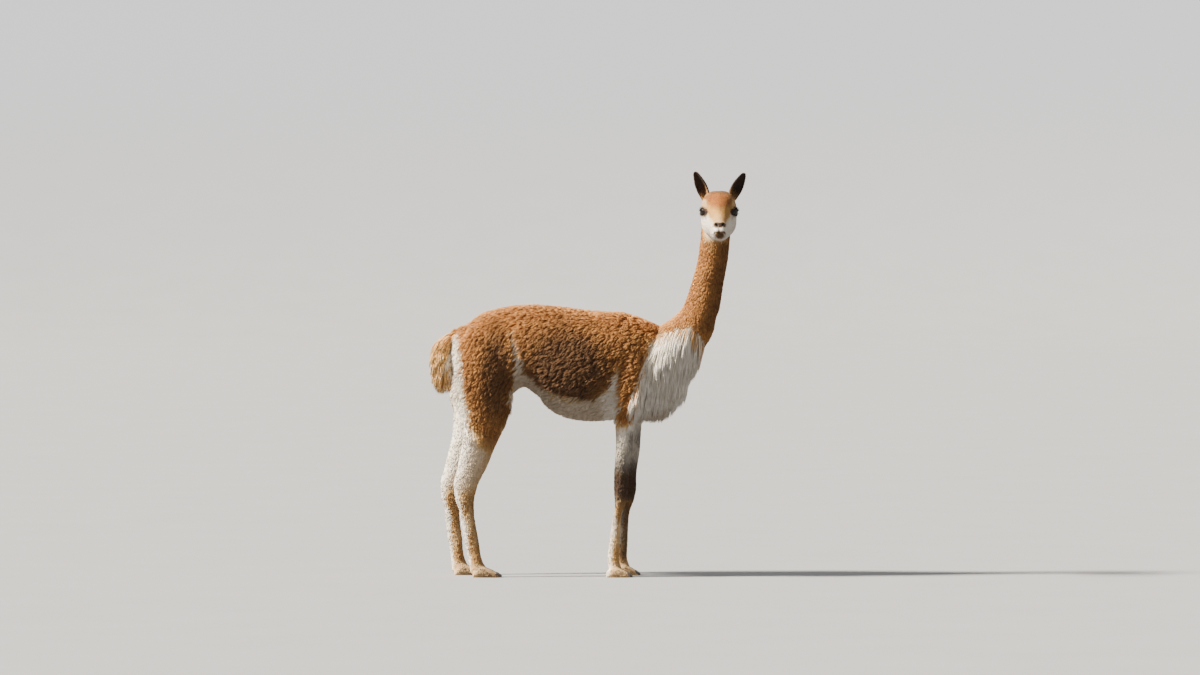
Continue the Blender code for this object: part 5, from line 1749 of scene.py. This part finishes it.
def make_lashes(side, word, material):
    """Lashes along the upper lid and a few along the lower one."""
    rng = np.random.default_rng(LASH_SEED + int(side))
    turn = np.array(gaze_turn(side).to_3x3())
    middle = np.array(eye_middle(side))
    radius = EYE_RADIUS + LASH_OUTSET
    roots, runs, lengths = [], [], []
    for start, end, count, length in LASHES:
        for angle in np.radians(np.linspace(start, end, count)):
            angle += rng.normal() * LASH_JITTER
            flat = np.array((-LID_OPENING[1] * math.sin(angle), LID_OPENING[0] * math.cos(angle)))
            out = math.sqrt(max(radius ** 2 - flat @ flat, 0.0))
            roots.append(middle + turn @ np.array((*flat, out)))
            runs.append(turn @ np.array((*flat, LASH_FORWARD[0] + LASH_FORWARD[1] * rng.uniform())))
            lengths.append(length)
    roots = np.array(roots)
    count = len(roots)
    ways = unit(roots - middle)
    lengths = np.array(lengths) * rng.uniform(*LASH_SPREAD, count)
    paths = hair_paths(roots, ways, along_skin(unit(np.array(runs)), ways), lengths, LASH_RISE,
                       -UP, LASH_SAG, LASH_CURL, len(LASH_TAPER), rng)
    marks = (np.zeros(count), np.ones(count), np.zeros(count))
    spread = np.stack([np.linspace(*LASH_CHART, count), np.full(count, 0.5)], axis=1)
    return tuft_mesh("lashes_" + word, paths, ways, np.full(count, LASH_WIDTH), LASH_THICKNESS,
                     marks, spread, np.array(LASH_TAPER), material)


def bare_places(places):
    """Where no hair roots: open eyes, nostrils, ears and soles."""
    bare = near_ear(places) | (places[:, 2] < SOLE_BARE)
    for side in (LEFT, RIGHT):
        local = from_eye(places, side)
        spread = np.sqrt((local[:, 0] / LID_OPENING[1]) ** 2 + (local[:, 1] / LID_OPENING[0]) ** 2)
        bare |= (spread < LID_BARE) & (local[:, 2] > 0) & (local[:, 2] < 2 * EYE_RADIUS)
        turn = np.array(nostril_turn(side).to_3x3())
        offset = (places - np.array(nostril_middle(side))) @ turn / np.array(NOSTRIL_SIZE)
        bare |= np.linalg.norm(offset, axis=1) < NOSTRIL_BARE
    return bare


ROOT_SEED = 40
COAT_SEED = 100
SEED_STEP = 10
PIECE_TRIANGLES = 190000
NOSE = (0.118, 0.95, 0.5)


def coat_density(kind, spots, ways):
    """Tufts per square metre."""
    nose = (EYE_PLANE_Y - spots[:, 1] > NOSE[0]) & (spots[:, 2] > NOSE[1])
    share = coat_shares(spots, ways)[kind] * COATS[kind].density
    return share * np.where(bare_places(spots), 0.0, 1.0) * np.where(nose, NOSE[2], 1.0)


def make_coat(ground, material):
    pieces = []
    for index, (kind, coat) in enumerate(COATS.items()):
        spots, ways = sample_skin(*ground, kind, ROOT_SEED + index)
        per_tuft = len(tuft_faces(coat.steps - 1))
        parts = max(1, math.ceil(len(spots) / (PIECE_TRIANGLES // per_tuft)))
        order = np.argsort(spots[:, coat.axis], kind="stable")
        for number, chosen in enumerate(np.array_split(order, parts)):
            suffix = "" if parts == 1 else "_%d" % (number + 1)
            pieces.append(coat_piece("coat_" + kind + suffix, kind, spots[chosen], ways[chosen],
                                     material, COAT_SEED + SEED_STEP * index + number))
    for side, word in SIDES:
        pieces.append(ear_coat(side, word, material))
        pieces.append(make_lashes(side, word, material))
    return pieces


def make_eye(side, word, material):
    shape = bmesh.new()
    bmesh.ops.create_uvsphere(shape, u_segments=EYE_SEGMENTS, v_segments=EYE_SEGMENTS // 2,
                              radius=EYE_RADIUS)
    eye = object_from_bmesh("eye_ball_" + word, shape)
    shade_smooth(eye.data)
    eye.data.materials.append(material)
    eye.matrix_world = Matrix.Translation(Vector(SHIFT) + eye_middle(side)) @ gaze_turn(side)
    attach(eye, "root")
    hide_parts("eye_" + word)


def make_nails(material):
    for toe_frame, length, name in toes():
        rings = []
        for share, height, half_width in smooth_rows(NAIL, NAIL_RINGS_PER_ROW):
            x = length + NAIL_OVERHANG - NAIL_LENGTH * (1 - share)
            middle = Vector((x, 0.0, NAIL_FLOOR_CLEARANCE + height / 2))
            places = ring(middle, Vector((0, 1, 0)), Vector((0, 0, 1)),
                          half_width, height / 2, NAIL_ROUNDNESS, points=NAIL_POINTS)
            rings.append([toe_frame @ place for place in places])
        shape = bmesh.new()
        add_loft(shape, rings)
        nail = object_from_bmesh("horn_" + name, shape)
        for face in nail.data.polygons:
            face.use_smooth = len(face.vertices) == 4
        nail.data.materials.append(material)
        nail.location = SHIFT
        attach(nail, "root")
        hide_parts("nail_" + name)


FLESH = ("head", "ear_left", "ear_right", "neck", "chest", "barrel", "hips", "tail",
         "thigh_left", "thigh_right", "hind_shank_left", "hind_shank_right",
         "hind_foot_left", "hind_foot_right", "foreleg_left", "foreleg_right",
         "fore_foot_left", "fore_foot_right")


def finish_skin(skin, material):
    mesh = skin.data
    shade_smooth(mesh)
    places, normals = vertex_arrays(mesh)
    white, dark = colour_marks(places, normals)
    colour = np.stack([white, dark, np.full(len(white), SKIN_DRAW), np.full(len(white), SKIN_TIP)], axis=1)
    add_marks(mesh, colour)
    mesh.materials.clear()
    mesh.materials.append(material)
    skin.location = SHIFT
    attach(skin, "root")
    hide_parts(*FLESH)


FLOOR_RADIUS = 26.0
COVE_RADIUS = 8.0
WALL_HEIGHT = 20.0
STAGE_POINTS = 96
COVE_STEPS = 17
STAGE_GLOW = 1.10
GLOW_COLOUR = (0.985, 0.99, 1.0)
GLOW_HEIGHT = 2.4
FLOOR_GRAIN = (3.0, 6.0)
FLOOR_ROUGHNESS = 0.85
FLOOR_DARK = (0.243, 0.243, 0.248)
FLOOR_LIGHT = (0.277, 0.277, 0.282)
BLACK = (0.0, 0.0, 0.0)


def turned_sheet(name, profile):
    """A smooth sheet turned round the upright axis, from rows of radius and height."""
    shape = bmesh.new()
    loops = []
    for radius, z in profile:
        loops.append([shape.verts.new((radius * math.cos(angle), radius * math.sin(angle), z))
                      for angle in np.linspace(0, 2 * math.pi, STAGE_POINTS, endpoint=False)])
    bridge(shape, loops)
    if len(loops) == 1:
        shape.faces.new(loops[0])
    sheet = object_from_bmesh(name, shape)
    shade_smooth(sheet.data)
    return sheet


def make_stage():
    """A pale floor that sweeps up into a pale wall far all round the animal."""
    graph = Graph("pale_floor")
    place = graph.place()
    rise = graph.soft_range(graph.split(place)["Z"], 0.0, GLOW_HEIGHT)
    pale = graph.mix(graph.noise(place, *FLOOR_GRAIN), FLOOR_DARK, FLOOR_LIGHT)
    material = graph.finish({
        "Base Color": graph.mix(rise, pale, BLACK),
        "Emission Color": GLOW_COLOUR,
        "Emission Strength": graph.math("MULTIPLY", rise, STAGE_GLOW),
        "Roughness": FLOOR_ROUGHNESS,
    })
    cove = [(FLOOR_RADIUS + COVE_RADIUS * math.sin(angle), COVE_RADIUS * (1 - math.cos(angle)))
            for angle in np.linspace(0, math.pi / 2, COVE_STEPS)]
    floor = turned_sheet("floor", [(FLOOR_RADIUS, 0.0)])
    wall = turned_sheet("backdrop", cove + [(FLOOR_RADIUS + COVE_RADIUS, WALL_HEIGHT)])
    wall.visible_shadow = False
    for sheet in (floor, wall):
        sheet.visible_diffuse = False
        sheet.data.materials.append(material)


SUN_POWER = 21.5
SUN_ANGLE = math.radians(7.0)
SUN_COLOUR = (1.0, 0.93, 0.82)
SUN_HEADING = (0.748, 0.115, -0.65)
FILL_PLACE = (3.0, -6.0, 2.6)
FILL_AIM = (0.0, 0.0, 0.7)
FILL_SIZE = 4.0
FILL_POWER = 4.0
FILL_COLOUR = (0.90, 0.95, 1.0)
SURROUND_COLOUR = (0.97, 0.95, 0.94, 1.0)
SURROUND_POWER = 0.50


def add_light(name, kind, power, colour, heading):
    lamp = bpy.data.lights.new(name, kind)
    lamp.energy = power
    lamp.color = colour
    made = new_object(name, lamp)
    made.rotation_euler = heading.to_track_quat("-Z", "Y").to_euler()
    return made


def make_lights():
    sun = add_light("key", "SUN", SUN_POWER, SUN_COLOUR, Vector(SUN_HEADING))
    sun.data.angle = SUN_ANGLE
    fill = add_light("fill", "AREA", FILL_POWER, FILL_COLOUR, Vector(FILL_AIM) - Vector(FILL_PLACE))
    fill.data.shape = "DISK"
    fill.data.size = FILL_SIZE
    fill.location = FILL_PLACE
    world = bpy.data.worlds.new("studio")
    world.use_nodes = True
    background = world.node_tree.nodes["Background"]
    background.inputs["Color"].default_value = SURROUND_COLOUR
    background.inputs["Strength"].default_value = SURROUND_POWER
    bpy.context.scene.world = world


CAMERA_DISTANCE = 20.0
FRAME_WIDTH = 3.72
SENSOR_WIDTH = 36.0
CAMERA_AIM = (0.032, 0.0, 0.742)
CAMERA_RISE = math.radians(1.5)
CAMERA_FAR = 200.0


def make_camera():
    lens = bpy.data.cameras.new("camera")
    lens.sensor_width = SENSOR_WIDTH
    lens.lens = SENSOR_WIDTH * CAMERA_DISTANCE / FRAME_WIDTH
    lens.clip_end = CAMERA_FAR
    camera = new_object("camera", lens)
    away = Vector((0.0, -math.cos(CAMERA_RISE), math.sin(CAMERA_RISE)))
    camera.location = Vector(CAMERA_AIM) + away * CAMERA_DISTANCE
    camera.rotation_euler = (-away).to_track_quat("-Z", "Y").to_euler()
    bpy.context.scene.camera = camera


make_camera()
make_lights()
make_stage()
skin, ground = make_skin()
coat = hair_material("coat_hair", TUFT_GRAIN)
finish_skin(skin, hair_material("skin_hair", SKIN_GRAIN))
for piece in make_coat(ground, coat):
    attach(piece, "root")
eye_gloss = eye_material()
for side, word in SIDES:
    make_eye(side, word, eye_gloss)
make_nails(nail_material())
